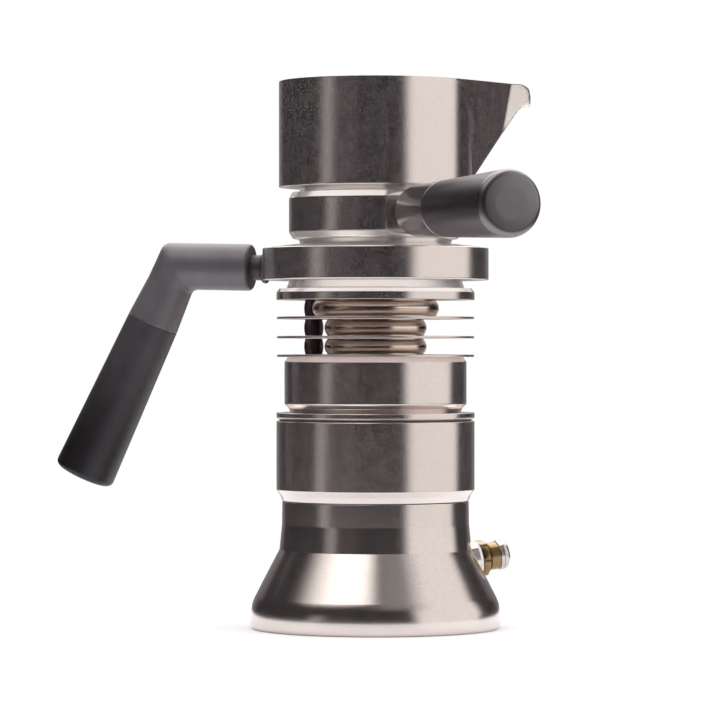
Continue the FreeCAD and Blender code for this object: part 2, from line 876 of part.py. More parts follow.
# Group head: the wide flange that takes the basket and the upper vessel, with a blind hole for the lower stud.
group_body = turned(
    "group_body",
    [
        (d.riser_hole_r, d.plate_top_z),
        (d.group_foot_r, d.plate_top_z),
        (d.group_cove_r, d.group_cove_z),
        (d.group_waist_r, d.group_low_z),
        (d.group_r - d.group_edge, d.group_low_z),
        (d.group_r, d.group_low_z + d.group_edge),
        (d.group_r, d.group_rim_z - d.group_edge),
        (d.group_r - d.group_edge, d.group_rim_z),
        (d.group_dome_r, d.group_top_z),
        (d.group_thread_r, d.group_top_z),
        (d.group_thread_r, d.group_ledge_z),
        (d.group_well_r, d.group_ledge_z),
        (d.group_well_r, d.group_floor_z),
        (d.riser_hole_r, d.group_floor_z),
    ],
)
lower_axis = aimed(d.lower_azimuth, d.lower_tilt, Vector(0, 0, d.lower_axis_z))
group_hole = rod("group_stud_hole", d.stud_hole_r, d.lower_stud_start - d.plug_play, d.arm_start, lower_axis)
part(cut("group_drilled", group_body, group_hole), "group_head")

# Filter basket with its perforated floor, and the filter plate held by the group gasket.
hole_rings = [
    (d.inner_hole_ring, d.inner_holes),
    (d.middle_hole_ring, d.middle_holes),
    (d.outer_hole_ring, d.outer_holes),
]
filter_basket = turned(
    "filter_basket",
    [
        (AXIS, d.basket_low_z),
        (d.basket_r, d.basket_low_z),
        (d.basket_r, d.basket_rim_z),
        (d.basket_rim_r, d.basket_rim_z),
        (d.basket_rim_r, d.basket_rim_z + d.basket_rim_thick),
        (d.basket_r - d.basket_wall, d.basket_rim_z + d.basket_rim_thick),
        (d.basket_r - d.basket_wall, d.basket_low_z + d.basket_wall),
        (AXIS, d.basket_low_z + d.basket_wall),
    ],
)
perforate(filter_basket, hole_rings)
part(filter_basket, "filter_basket")

part(
    turned(
        "group_gasket",
        [
            (d.gasket_in_r, d.gasket_low_z),
            (d.gasket_r, d.gasket_low_z),
            (d.gasket_r, d.gasket_top_z),
            (d.gasket_in_r, d.gasket_top_z),
        ],
    ),
    "group_gasket",
)
filter_plate = turned(
    "filter_plate",
    [
        (AXIS, d.filter_plate_z),
        (d.filter_plate_r, d.filter_plate_z),
        (d.filter_plate_r, d.filter_plate_z + d.filter_plate_thick),
        (AXIS, d.filter_plate_z + d.filter_plate_thick),
    ],
)
perforate(filter_plate, hole_rings)
part(filter_plate, "filter_plate")

# Outlet chamber, turned about Z with its milled flat towards local -Y, then turned to the upper handle.
outlet_chamber = turned(
    "outlet_chamber",
    [
        (d.chamber_recess_r, d.chamber_low_z),
        (d.chamber_spigot_r, d.chamber_low_z),
        (d.chamber_spigot_r, d.chamber_foot_z),
        (d.chamber_r, d.chamber_foot_z),
        (d.chamber_r, d.chamber_top_z),
        (d.chamber_collar_r, d.chamber_top_z),
        (d.chamber_collar_r, d.jug_low_z),
        (d.column_hole_r, d.jug_low_z),
        (d.column_hole_r, d.chamber_roof_z),
        (d.chamber_bore_r, d.chamber_roof_z),
        (d.chamber_bore_r, d.chamber_bore_z),
        (d.chamber_mouth_r, d.chamber_recess_z),
        (d.chamber_recess_r, d.chamber_recess_z),
    ],
)
flat_sketch = sketch_on(outlet_chamber, "XY_Plane", "chamber_flat")
outline(
    flat_sketch,
    [
        (-d.chamber_r, -d.chamber_flat),
        (-d.chamber_r, -d.group_r),
        (d.chamber_r, -d.group_r),
        (d.chamber_r, -d.chamber_flat),
    ],
)
flat_cut = outlet_chamber.newObject("PartDesign::Pocket", "chamber_flat_cut")
flat_cut.Profile = flat_sketch
flat_cut.Type = "ThroughAll"
flat_cut.SideType = "Two sides"
flat_cut.Type2 = "ThroughAll"


def chamber_rim(height):
    def on_rim(point):
        return abs(point.z - height) < NEAR and math.hypot(point.x, point.y) > d.chamber_flat - NEAR

    return on_rim


dress(outlet_chamber, "Fillet", d.chamber_top_round, chamber_rim(d.chamber_top_z))
dress(outlet_chamber, "Fillet", d.chamber_foot_round, chamber_rim(d.chamber_foot_z))
stud_sketch = sketch_on(outlet_chamber, "XZ_Plane", "chamber_stud_hole", d.upper_stud_start - d.plug_play)
ring_sketch(stud_sketch, d.stud_hole_r, AXIS, d.upper_axis_z)
stud_cut = outlet_chamber.newObject("PartDesign::Pocket", "chamber_stud_cut")
stud_cut.Profile = stud_sketch
stud_cut.Type = "ThroughAll"
stud_cut.Reversed = True
outlet_chamber.Placement = FreeCAD.Placement(
    Vector(0, 0, 0), FreeCAD.Rotation(Vector(0, 0, 1), d.upper_azimuth + 90)
)
part(outlet_chamber, "outlet_chamber")

# Jug: a thin cup whose V spout is lofted between three outlines, modelled with the spout towards local +X.
jug_body = turned(
    "jug_body",
    [
        (AXIS, d.jug_low_z),
        (d.jug_r, d.jug_low_z),
        (d.jug_r, d.jug_top_z),
        (AXIS, d.jug_top_z),
    ],
)
dress(jug_body, "Fillet", d.jug_foot_round, rim(d.jug_r, d.jug_low_z))


def spout_outline(body, name, height, nose, nose_r, half):
    sketch = sketch_on(body, "XY_Plane", name, height)
    lean = math.atan2(half - nose_r, nose - d.spout_back)
    touch = Vector(nose + nose_r * math.sin(lean), nose_r * math.cos(lean), 0)
    back = Vector(d.spout_back, half, 0)
    low_touch = Vector(touch.x, -touch.y, 0)
    low_back = Vector(back.x, -back.y, 0)
    tip = Vector(nose + nose_r, 0, 0)
    sketch.addGeometry(Part.LineSegment(back, low_back))
    sketch.addGeometry(Part.LineSegment(low_back, low_touch))
    sketch.addGeometry(Part.Arc(low_touch, tip, touch))
    sketch.addGeometry(Part.LineSegment(touch, back))
    sketch.addConstraint(Sketcher.Constraint("Coincident", 0, 2, 1, 1))
    sketch.addConstraint(Sketcher.Constraint("Coincident", 3, 2, 0, 1))
    sketch.addConstraint(Sketcher.Constraint("Tangent", 1, 2, 2, 1))
    sketch.addConstraint(Sketcher.Constraint("Tangent", 2, 2, 3, 1))
    pin(sketch, 0, 1, d.spout_back, half)
    pin(sketch, 0, 2, d.spout_back, -half)
    pin(sketch, 2, 3, nose, AXIS)
    size = sketch.addConstraint(Sketcher.Constraint("Radius", 2, float(nose_r)))
    sketch.setExpression(f"Constraints[{size}]", nose_r.text)
    return sketch


def spout_loft(body, name, sections):
    sketches = [spout_outline(body, f"{name}{number}", *section) for number, section in enumerate(sections)]
    loft = body.newObject("PartDesign::AdditiveLoft", name)
    loft.Profile = sketches[0]
    loft.Sections = sketches[1:]
    loft.Ruled = True
    return loft


spout_loft(
    jug_body,
    "spout_outside",
    [
        (d.jug_low_z, d.spout_foot_nose, d.spout_keel_r, d.spout_foot_half),
        (d.spout_bend_z, d.spout_bend_nose, d.spout_keel_r, d.spout_bend_half),
        (d.jug_top_z, d.spout_rim_nose, d.spout_rim_nose_r, d.spout_rim_half),
    ],
)

jug_inside = turned(
    "jug_inside",
    [
        (AXIS, d.jug_low_z + d.jug_floor),
        (d.jug_r - d.jug_wall, d.jug_low_z + d.jug_floor),
        (d.jug_r - d.jug_wall, d.jug_top_z + d.jug_floor),
        (AXIS, d.jug_top_z + d.jug_floor),
    ],
)
spout_loft(
    jug_inside,
    "spout_inside",
    [
        (d.jug_low_z + d.jug_floor, d.spout_inner_foot_nose, d.spout_inner_r, d.spout_inner_foot_half),
        (d.spout_inner_bend_z, d.spout_inner_bend_nose, d.spout_inner_r, d.spout_inner_bend_half),
        (d.jug_top_z, d.spout_rim_nose, d.spout_inner_rim_nose_r, d.spout_inner_rim_half),
    ],
)
column_hole = rod("column_hole", d.column_hole_r, d.chamber_top_z, d.jug_top_z, FreeCAD.Placement())

lip_profile = doc.addObject("PartDesign::Body", "lip_profile")
lip_sketch = sketch_on(lip_profile, "XZ_Plane", "lip_outline")
lip_points = [
    (d.lip_root, d.lip_root_z),
    (d.lip_heel, d.lip_heel_z),
    (d.lip_bend, d.lip_bend_z),
    (d.lip_under, d.lip_under_z),
    (d.lip_tip, d.lip_tip_z),
    (d.lip_nose, d.lip_nose_z),
    (d.lip_cheek, d.lip_cheek_z),
    (d.lip_brow, d.lip_brow_z),
    (d.lip_crown, d.jug_top_z),
    (d.lip_root, d.jug_top_z),
]
outline(lip_sketch, lip_points)
lip_pad = lip_profile.newObject("PartDesign::Pad", "lip_pad")
lip_pad.Profile = lip_sketch
lip_pad.SideType = "Symmetric"
tie(lip_pad, "Length", d.lip_width_r * 2)
lip_rings = []
for radius, centre, height in (
    (d.lip_keel_r, d.lip_keel_centre, d.lip_keel_z),
    (d.lip_width_r, d.lip_centre, d.lip_tip_z),
    (d.lip_width_r, d.lip_centre, d.jug_top_z + d.jug_wall),
):
    lip_ring = doc.addObject("Part::Circle", "lip_ring")
    tie(lip_ring, "Radius", radius)
    lip_ring.Placement.Base = Vector(centre, 0, height)
    lip_rings.append(lip_ring)
lip_round = doc.addObject("Part::Loft", "lip_round")
lip_round.Sections = lip_rings
lip_round.Solid = True
lip_round.Ruled = True
lip = doc.addObject("Part::Common", "lip")
lip.Base = lip_profile
lip.Tool = lip_round
channel_place = FreeCAD.Placement(
    Vector(d.lip_channel_start, 0, d.lip_channel_start_z),
    FreeCAD.Rotation(Vector(0, 1, 0), d.lip_channel_fall + 90),
)
lip_channel = rod("lip_channel", d.lip_channel_r, AXIS, d.lip_channel_length, channel_place)
jug_hollow = joined("jug_hollow", [jug_inside, column_hole, lip_channel])
jug = cut("jug_cut", joined("jug_with_lip", [jug_body, lip]), jug_hollow)
jug.Placement = FreeCAD.Placement(Vector(0, 0, 0), FreeCAD.Rotation(Vector(0, 0, 1), d.spout_azimuth))
part(jug, "jug")

# Outlet column in the jug, its cap and the sprung brew valve.
outlet_column = turned(
    "outlet_column",
    [
        (d.column_bore_r, d.chamber_roof_z),
        (d.column_spigot_r, d.chamber_roof_z),
        (d.column_spigot_r, d.jug_low_z + d.jug_floor),
        (d.column_foot_r, d.jug_low_z + d.jug_floor),
        (d.column_foot_r, d.jug_low_z + d.jug_floor + d.column_foot_thick),
        (d.column_low_r, d.column_low_z),
        (d.column_r, d.column_high_z),
        (d.column_r, d.column_top_z),
        (d.column_chamber_r, d.column_top_z),
        (d.column_chamber_r, d.column_seat_z),
        (d.column_seat_r, d.column_seat_z),
        (d.column_seat_r, d.column_seat_z - d.column_seat_thick),
        (d.column_bore_r, d.column_seat_z - d.column_seat_thick),
    ],
)
vent_sketch = sketch_on(outlet_column, "XZ_Plane", "column_vent")
ring_sketch(vent_sketch, d.column_vent_r, AXIS, d.column_vent_z)
vent_cut = outlet_column.newObject("PartDesign::Pocket", "column_vent_cut")
vent_cut.Profile = vent_sketch
vent_cut.Type = "ThroughAll"
vent_cut.SideType = "Two sides"
vent_cut.Type2 = "ThroughAll"
vent_ring = outlet_column.newObject("PartDesign::PolarPattern", "column_vent_ring")
vent_ring.Originals = [vent_cut]
vent_ring.Axis = (vent_sketch, ["V_Axis"])
vent_ring.Angle = 180
vent_ring.Occurrences = 3
outlet_column.Tip = vent_ring
part(outlet_column, "outlet_column")

part(
    turned(
        "column_cap",
        [
            (d.column_cap_in_r, d.column_cap_low_z),
            (d.column_cap_r, d.column_cap_low_z),
            (d.column_cap_r, d.column_cap_top_z - d.column_cap_edge),
            (d.column_cap_r - d.column_cap_edge, d.column_cap_top_z),
            (d.column_cap_hole_r, d.column_cap_top_z),
            (d.column_cap_hole_r, d.column_cap_roof_z),
            (d.column_cap_in_r, d.column_cap_roof_z),
        ],
    ),
    "column_cap",
)
part(
    turned(
        "brew_poppet",
        [
            (AXIS, d.brew_plug_z),
            (d.brew_plug_r, d.brew_plug_z),
            (d.brew_plug_r, d.brew_plug_z + d.brew_plug_thick),
            (d.brew_stem_r, d.brew_plug_z + d.brew_plug_thick),
            (d.brew_stem_r, d.brew_stem_z),
            (AXIS, d.brew_stem_z),
        ],
    ),
    "brew_poppet",
)
brew_spring = doc.addObject("Part::Feature", "brew_spring")
brew_spring.Shape = coil(
    d.brew_spring_r,
    d.brew_spring_low_z,
    d.brew_spring_top_z,
    d.brew_spring_turns,
    d.brew_spring_wire_r,
)
part(brew_spring, "brew_spring")


# Handles. Turned pieces of a handle are drawn along local Z, with distances from the machine's axis.
def ferrule(name, start, end, placement, hug):
    body = turned(
        name + "_cone",
        [
            (d.stud_hole_r, start - hug),
            (d.ferrule_wide_r, start - hug),
            (d.ferrule_thin_r, end),
            (d.stud_hole_r, end),
        ],
    )
    body.Placement = placement
    return body


def stud(name, start, end, placement):
    body = turned(
        name,
        [
            (AXIS, start),
            (d.stud_r - d.stud_tip, start),
            (d.stud_r, start + d.stud_tip),
            (d.stud_r, end - d.stud_tip),
            (d.stud_r - d.stud_tip, end),
            (AXIS, end),
        ],
    )
    body.Placement = placement
    return part(body, name)


# Lower handle: stud, ferrule hugging the flange, elbow and grip.
stud("lower_stud", d.lower_stud_start, d.lower_stud_end, lower_axis)
hugging = ferrule("lower_ferrule", d.group_r, d.arm_start, lower_axis, d.arm_chamfer)
group_rim = rod("group_rim_tool", d.group_r, d.plate_top_z, d.group_top_z, FreeCAD.Placement())
part(cut("lower_ferrule_cut", hugging, group_rim), "lower_ferrule")

turn_angle = 90 - d.leg_lean + d.lower_tilt
pivot_reach = d.arm_r + d.elbow_inner_round
bend_length = pivot_reach * math.tan(math.radians(turn_angle / 2))
arm = turned(
    "handle_arm",
    [
        (AXIS, d.arm_start),
        (d.arm_r - d.arm_chamfer, d.arm_start),
        (d.arm_r, d.arm_start + d.arm_chamfer),
        (d.arm_r, d.corner - bend_length),
        (AXIS, d.corner - bend_length),
    ],
)
arm.Placement = lower_axis

# The bend turns about a pivot under the corner: its section grows from a circle to an ellipse that fills the corner.
side = lower_axis.Rotation.multVec(Vector(0, 1, 0))
pivot = lower_axis.multVec(Vector(0, 0, d.corner - bend_length)) - lower_axis.Rotation.multVec(Vector(pivot_reach, 0, 0))


def bend_frame(angle):
    swing = FreeCAD.Rotation(side, -angle)
    return FreeCAD.Placement(pivot, swing.multiply(lower_axis.Rotation))


outer_flat = 2 * d.arm_r + d.elbow_inner_round
half_turn = turn_angle / 2
corner_cut = d.elbow_outer_round * math.tan(math.radians(half_turn))
round_start = math.degrees(math.atan2(outer_flat * math.tan(math.radians(half_turn)) - corner_cut, outer_flat))
round_depth = d.elbow_outer_round * (1 / math.cos(math.radians(half_turn)) - 1)
first_half = [0, round_start / 2, round_start, half_turn]
sections = []
for angle in first_half + [turn_angle - angle for angle in reversed(first_half[:-1])]:
    reach = outer_flat / math.cos(math.radians(min(angle, turn_angle - angle)))
    if angle == half_turn:
        reach = reach - round_depth
    section = doc.addObject("Part::Ellipse", "bend_section")
    section.MajorRadius = (reach - d.elbow_inner_round) / 2
    section.MinorRadius = float(d.arm_r)
    frame = bend_frame(angle)
    section.Placement = frame.multiply(
        FreeCAD.Placement(Vector((reach + d.elbow_inner_round) / 2, 0, 0), FreeCAD.Rotation())
    )
    sections.append(section)
bend = doc.addObject("Part::Loft", "handle_bend")
bend.Sections = sections
bend.Solid = True
bend.Ruled = False

leg_frame = bend_frame(turn_angle)
leg_axis = leg_frame.multiply(
    FreeCAD.Placement(Vector(pivot_reach, 0, -(d.corner - bend_length)), FreeCAD.Rotation())
)
leg_start = d.corner - bend_length
leg_end = leg_start + d.leg_length - bend_length
leg = turned(
    "handle_leg",
    [
        (AXIS, leg_start),
        (d.arm_r, leg_start),
        (d.leg_r, leg_end - d.joint_edge),
        (d.leg_r - d.joint_edge, leg_end),
        (AXIS, leg_end),
    ],
)
leg.Placement = leg_axis
arm_bore = rod("arm_bore", d.stud_hole_r, d.arm_start - d.arm_chamfer, d.lower_stud_end + d.plug_play, lower_axis)
leg_socket = rod("leg_socket", d.lower_plug_r + d.plug_play, leg_end - d.lower_plug_length, leg_end + d.arm_chamfer, leg_axis)
elbow_bores = joined("elbow_bores", [arm_bore, leg_socket])
part(cut("elbow_bored", joined("elbow_solid", [arm, bend, leg]), elbow_bores), "handle_elbow")

grip_end = leg_end + d.lower_grip_length
lower_grip = turned(
    "lower_grip",
    [
        (AXIS, leg_end - d.lower_plug_length + d.joint_edge),
        (d.lower_plug_r, leg_end - d.lower_plug_length + d.joint_edge),
        (d.lower_plug_r, leg_end),
        (d.leg_r - d.joint_edge, leg_end),
        (d.leg_r, leg_end + d.joint_edge),
        (d.lower_grip_r, grip_end - d.lower_grip_crown),
        (AXIS, grip_end),
    ],
)
dress(lower_grip, "Fillet", d.lower_grip_round, rim(d.lower_grip_r, grip_end - d.lower_grip_crown))
lower_grip.Placement = leg_axis
part(lower_grip, "lower_grip")

# Upper handle: stud, ferrule on the flat, metal collar and grip.
upper_axis = aimed(d.upper_azimuth, 0, Vector(0, 0, d.upper_axis_z))
stud("upper_stud", d.upper_stud_start, d.upper_stud_end, upper_axis)
part(ferrule("upper_ferrule", d.chamber_flat, d.collar_start, upper_axis, AXIS), "upper_ferrule")
upper_collar = turned(
    "upper_collar",
    [
        (d.stud_hole_r, d.collar_start),
        (d.collar_root_r - d.collar_chamfer, d.collar_start),
        (d.collar_root_r, d.collar_start + d.collar_chamfer),
        (d.collar_r, d.collar_end - d.joint_edge),
        (d.collar_r - d.joint_edge, d.collar_end),
        (d.upper_plug_r + d.plug_play, d.collar_end),
        (d.upper_plug_r + d.plug_play, d.upper_plug_start - d.plug_play),
        (d.stud_hole_r, d.upper_plug_start - d.plug_play),
    ],
)
upper_collar.Placement = upper_axis
part(upper_collar, "upper_collar")
upper_grip = turned(
    "upper_grip",
    [
        (d.stud_hole_r, d.upper_plug_start),
        (d.upper_plug_r, d.upper_plug_start),
        (d.upper_plug_r, d.collar_end),
        (d.collar_r - d.joint_edge, d.collar_end),
        (d.collar_r, d.collar_end + d.joint_edge),
        (d.upper_grip_r, d.upper_grip_end),
        (AXIS, d.upper_grip_end),
        (AXIS, d.upper_stud_end + d.joint_edge),
        (d.stud_hole_r, d.upper_stud_end + d.joint_edge),
    ],
)
dress(upper_grip, "Fillet", d.upper_grip_round, rim(d.upper_grip_r, d.upper_grip_end))
upper_grip.Placement = upper_axis
part(upper_grip, "upper_grip")

# Nothing is written until every object is sound.
doc.recompute()
for item in doc.Objects:
    if "Invalid" in item.State or "Error" in item.State:
        raise RuntimeError(f"{item.Label} did not rebuild: {item.State}")
for item in parts:
    if item.Shape.isNull() or not item.Shape.isValid() or not item.Shape.Solids:
        raise RuntimeError(f"{item.Label} has no sound solid")

os.makedirs("parts", exist_ok=True)
for item in parts:
    item.Shape.exportStep(f"parts/{item.Label}.step")
    print(f"{item.Label}: {item.Shape.Volume / 1000:.2f} cm3, {len(item.Shape.Solids)} solid")
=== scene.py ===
import json
import math
import bmesh
import bpy
from mathutils import Matrix, Vector


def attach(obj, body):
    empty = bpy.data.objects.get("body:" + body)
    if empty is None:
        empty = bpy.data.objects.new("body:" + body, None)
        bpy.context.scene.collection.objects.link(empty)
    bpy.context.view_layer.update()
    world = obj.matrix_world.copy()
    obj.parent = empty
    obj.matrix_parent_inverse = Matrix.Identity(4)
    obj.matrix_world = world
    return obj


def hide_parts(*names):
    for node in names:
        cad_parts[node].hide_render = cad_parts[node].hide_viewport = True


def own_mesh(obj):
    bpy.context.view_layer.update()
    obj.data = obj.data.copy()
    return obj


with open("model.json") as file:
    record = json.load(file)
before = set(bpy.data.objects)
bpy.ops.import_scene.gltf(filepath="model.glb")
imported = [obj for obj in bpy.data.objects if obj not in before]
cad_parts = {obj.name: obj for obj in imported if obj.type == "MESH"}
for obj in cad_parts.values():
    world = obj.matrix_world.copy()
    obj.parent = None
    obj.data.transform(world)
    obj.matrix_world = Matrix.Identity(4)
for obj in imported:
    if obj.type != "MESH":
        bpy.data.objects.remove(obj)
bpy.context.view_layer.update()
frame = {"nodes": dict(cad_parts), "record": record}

nodes = frame["nodes"]
scene = bpy.context.scene
mm = 0.001  # sizes are given in millimetres, the scene is in metres
print("stage: frame loaded,", len(nodes), "nodes")


cameraLook = {
    "lens": 189.0,
    "sensor": 36.0,
    "place": (-0.0062, -1.512, 0.114),
    "target": (-0.0062, 0.0, 0.1072),
    "clipEnd": 20.0,
}


def faceTo(thing, place, target):
    thing.location = place
    thing.rotation_euler = (Vector(target) - Vector(place)).to_track_quat("-Z", "Y").to_euler()


def makeCamera(look):
    data = bpy.data.cameras.new("camera")
    data.lens = look["lens"]
    data.sensor_width = look["sensor"]
    data.clip_end = look["clipEnd"]
    camera = bpy.data.objects.new("camera", data)
    scene.collection.objects.link(camera)
    faceTo(camera, look["place"], look["target"])
    scene.camera = camera


makeCamera(cameraLook)
print("stage: camera")


# one socket of a node tree; an expression on wires adds its Math nodes
class Wire:
    def __init__(self, paint, socket):
        self.paint = paint
        self.socket = socket

    def math(self, operation, *others):
        return self.paint.node("ShaderNodeMath", {"operation": operation}, dict(enumerate((self, *others))))

    def __add__(self, other):
        return self.math("ADD", other)

    __radd__ = __add__

    def __sub__(self, other):
        return self.math("SUBTRACT", other)

    def __rsub__(self, other):
        return self.paint.node("ShaderNodeMath", {"operation": "SUBTRACT"}, {0: other, 1: self})

    def __mul__(self, other):
        return self.math("MULTIPLY", other)

    __rmul__ = __mul__

    def __neg__(self):
        return self.math("MULTIPLY", -1.0)

    def step(self, low, high):  # runs softly from 0 at low to 1 at high
        return self.paint.node(
            "ShaderNodeMapRange",
            {"interpolation_type": "SMOOTHSTEP", "clamp": True},
            {"Value": self, "From Min": low, "From Max": high},
        )


class Paint:
    def __init__(self, tree):
        self.tree = tree
        tree.nodes.clear()

    # outlet is an output's number or name, and a tuple of them gives a list of wires
    def node(self, kind, settings=None, links=None, outlet=0):
        made = self.tree.nodes.new(kind)
        for key, value in (settings or {}).items():
            setattr(made, key, value)
        for key, value in (links or {}).items():
            if isinstance(value, Wire):
                self.tree.links.new(value.socket, made.inputs[key])
            else:
                made.inputs[key].default_value = value
        if isinstance(outlet, tuple):
            return [Wire(self, made.outputs[key]) for key in outlet]
        return Wire(self, made.outputs[outlet]) if made.outputs else None

    # a Mix node's colour sockets are its inputs 6 and 7 and its output 2
    def blend(self, factor, first, second):
        return self.node("ShaderNodeMix", {"data_type": "RGBA"}, {0: factor, 6: first, 7: second}, 2)

    def bump(self, height, strength, depth, normal=None):
        links = {"Height": height, "Strength": strength, "Distance": depth}
        if normal:
            links["Normal"] = normal
        return self.node("ShaderNodeBump", None, links)


class Finish(Paint):
    def __init__(self, name):
        self.material = bpy.data.materials.new(name)
        self.material.use_nodes = True
        super().__init__(self.material.node_tree)
        self.place = self.node("ShaderNodeTexCoord", outlet="Object")
        self.x, self.y, self.z = self.node("ShaderNodeSeparateXYZ", None, {0: self.place}, (0, 1, 2))

    def radius(self):
        return (self.x * self.x + self.y * self.y).math("SQRT")

    def noise(self, scale, detail=2.0, roughness=0.5):
        links = {"Vector": self.place, "Scale": scale, "Detail": detail, "Roughness": roughness}
        return self.node("ShaderNodeTexNoise", None, links)

    def toolLines(self, scale, detail):  # the fine rings that turning leaves
        feed = self.z * scale + self.radius() * scale
        return self.node(
            "ShaderNodeTexNoise", {"noise_dimensions": "1D"}, {"W": feed, "Scale": 1.0, "Detail": detail}
        )

    def shader(self, links):
        return self.node("ShaderNodeBsdfPrincipled", None, links)

    def surface(self, shader):
        self.node("ShaderNodeOutputMaterial", None, {"Surface": shader})
        return self.material


noiseMiddle = 0.5


def weighed(shares, *textures):
    parts = [texture * share for texture, share in zip(textures, shares)]
    return sum(parts[1:], parts[0])


def uneven(middle, swings, *textures):
    for texture, swing in zip(textures, swings):
        middle = middle + (texture - noiseMiddle) * swing
    return middle


def rgb(red, green, blue):
    return (red, green, blue, 1.0)


# in the looks, a noise is its scale, detail and roughness, lines are their scale and detail,
# a spread is what part of a texture's range is drawn out, and a bump's depth is in metres
steelLook = {
    "bright": rgb(0.80, 0.72, 0.686), "dull": rgb(0.71, 0.63, 0.600),
    "roughness": 0.17, "uneven": (0.05, 0.04),
    "matt": rgb(0.76, 0.67, 0.68), "mattRoughness": 0.9, "mattSpecular": 0.1,
    "mattShare": 0.105, "mottleShare": 0.16, "mottleSpread": (0.3, 0.7),
    "speckShares": (0.75, 0.25), "speckSpread": (0.36, 0.66),
    "grain": (2600.0, 2.0, 0.6), "speckle": (1400.0, 6.0, 0.78), "fleck": 1750.0,
    "mottle": (210.0, 3.0, 0.55), "cloud": (45.0, 3.0, 0.5), "lines": (9000.0, 2.0),
    "toneShares": (0.15, 0.45, 0.2, 0.2), "toneSpread": (0.32, 0.68),
    "grainBump": 0.4, "bump": 0.25, "bumpDepth": 0.00006, "linesBump": 0.0, "linesDepth": 0.00003,
}
baseLook = {**steelLook, "mattShare": 0.052}
finLook = {**steelLook, "roughness": 0.30, "linesBump": 0.25}


def makeBlastedSteel(name, look):
    paint = Finish(name)
    grain = paint.noise(*look["grain"])
    speckle = paint.noise(*look["speckle"])
    cells = paint.node("ShaderNodeTexVoronoi", None, {"Vector": paint.place, "Scale": look["fleck"]}, "Color")
    fleck = cells + 0.0  # a Math node turns each cell's colour into one grey value
    mottle = paint.noise(*look["mottle"])
    cloud = paint.noise(*look["cloud"])
    tone = weighed(look["toneShares"], grain, speckle, fleck, cloud).step(*look["toneSpread"])
    colour = paint.blend(tone, look["dull"], look["bright"])
    normal = paint.bump(grain * look["grainBump"] + speckle, look["bump"], look["bumpDepth"])
    if look["linesBump"]:
        normal = paint.bump(paint.toolLines(*look["lines"]), look["linesBump"], look["linesDepth"], normal)
    rough = uneven(look["roughness"], look["uneven"], speckle, cloud)
    shiny = paint.shader({"Base Color": colour, "Metallic": 1.0, "Roughness": rough, "Normal": normal})
    matt = paint.shader(
        {
            "Base Color": look["matt"], "Roughness": look["mattRoughness"],
            "Specular IOR Level": look["mattSpecular"], "Normal": normal,
        }
    )
    specks = weighed(look["speckShares"], fleck * fleck, speckle.step(*look["speckSpread"]))
    blotches = mottle.step(*look["mottleSpread"])
    share = look["mattShare"] * specks + look["mattShare"] * look["mottleShare"] * blotches
    return paint.surface(paint.node("ShaderNodeMixShader", None, {0: share, 1: shiny, 2: matt}))


turnedLook = {
    "bright": rgb(0.90, 0.785, 0.695), "dull": rgb(0.78, 0.665, 0.58), "roughness": 0.17, "metal": 1.0,
    "lines": (7000.0, 3.0), "cloud": (60.0, 3.0), "grain": (2600.0, 2.0),
    "toneShares": (0.5, 0.3, 0.2), "toneSpread": (0.3, 0.7), "uneven": (0.10, 0.06),
    "grainBump": 0.3, "bump": 0.35, "bumpDepth": 0.00003,
}
# painted highlight: polished bands coloured near-white and partly matt, brighter than the steel round them,
# for the light their rounds and undercuts catch
polishHighlightLook = {
    **turnedLook, "bright": rgb(0.95, 0.905, 0.885), "dull": rgb(0.90, 0.855, 0.835),
    "roughness": 0.16, "metal": 0.8, "bump": 0.15,
}
# painted shade: the pipe's rings between the fins get a dark purple-grey, standing in for the shade there
pipeShadedLook = {
    **turnedLook, "bright": rgb(0.20, 0.155, 0.18), "dull": rgb(0.12, 0.095, 0.11),
    "roughness": 0.32, "bump": 0.2,
}
tubeLook = {**turnedLook, "roughness": 0.22, "bump": 0.2}
brassLook = {
    **turnedLook, "bright": rgb(0.36, 0.255, 0.125), "dull": rgb(0.22, 0.15, 0.078),
    "roughness": 0.26, "bump": 0.3,
}
valveCapLook = {
    **turnedLook, "bright": rgb(0.66, 0.60, 0.59), "dull": rgb(0.52, 0.46, 0.455),
    "roughness": 0.18, "bump": 0.2,
}
wireLook = {
    **turnedLook, "bright": rgb(0.72, 0.70, 0.68), "dull": rgb(0.45, 0.43, 0.42),
    "roughness": 0.25, "bump": 0.15,
}


def makeTurnedMetal(name, look):
    paint = Finish(name)
    lines = paint.toolLines(*look["lines"])
    cloud = paint.noise(*look["cloud"])
    grain = paint.noise(*look["grain"])
    tone = weighed(look["toneShares"], lines, cloud, grain).step(*look["toneSpread"])
    colour = paint.blend(tone, look["dull"], look["bright"])
    rough = uneven(look["roughness"], look["uneven"], lines, cloud)
    normal = paint.bump(lines + grain * look["grainBump"], look["bump"], look["bumpDepth"])
    return paint.surface(
        paint.shader({"Base Color": colour, "Metallic": look["metal"], "Roughness": rough, "Normal": normal})
    )


gripLook = {
    "low": rgb(0.029, 0.0245, 0.029), "high": rgb(0.043, 0.037, 0.0425), "roughness": 0.44,
    "tip": rgb(0.002, 0.0016, 0.002), "fade": (0.066, 0.124),  # painted shade: the grip darkens to this near-black below the upper of these heights, in metres
    "ior": 1.55, "sheen": rgb(1.0, 0.93, 1.0),
    "skin": (1900.0, 3.0, 0.6), "broad": (110.0, 3.0, 0.55),
    "toneShares": (0.5, 0.5), "toneSpread": (0.32, 0.68), "uneven": (0.14, 0.10),
    "bump": 0.28, "bumpDepth": 0.00006,
}
# painted light and shade: a copy of the grip plastic with a darker colour and stronger reflections, tuned to
# how the upper grip is lit
upperGripLitCopyLook = {
    **gripLook, "low": rgb(0.0040, 0.0030, 0.0038), "high": rgb(0.0080, 0.0062, 0.0076), "roughness": 0.34,
    "fade": (0.0, 0.01), "ior": 2.8,
}


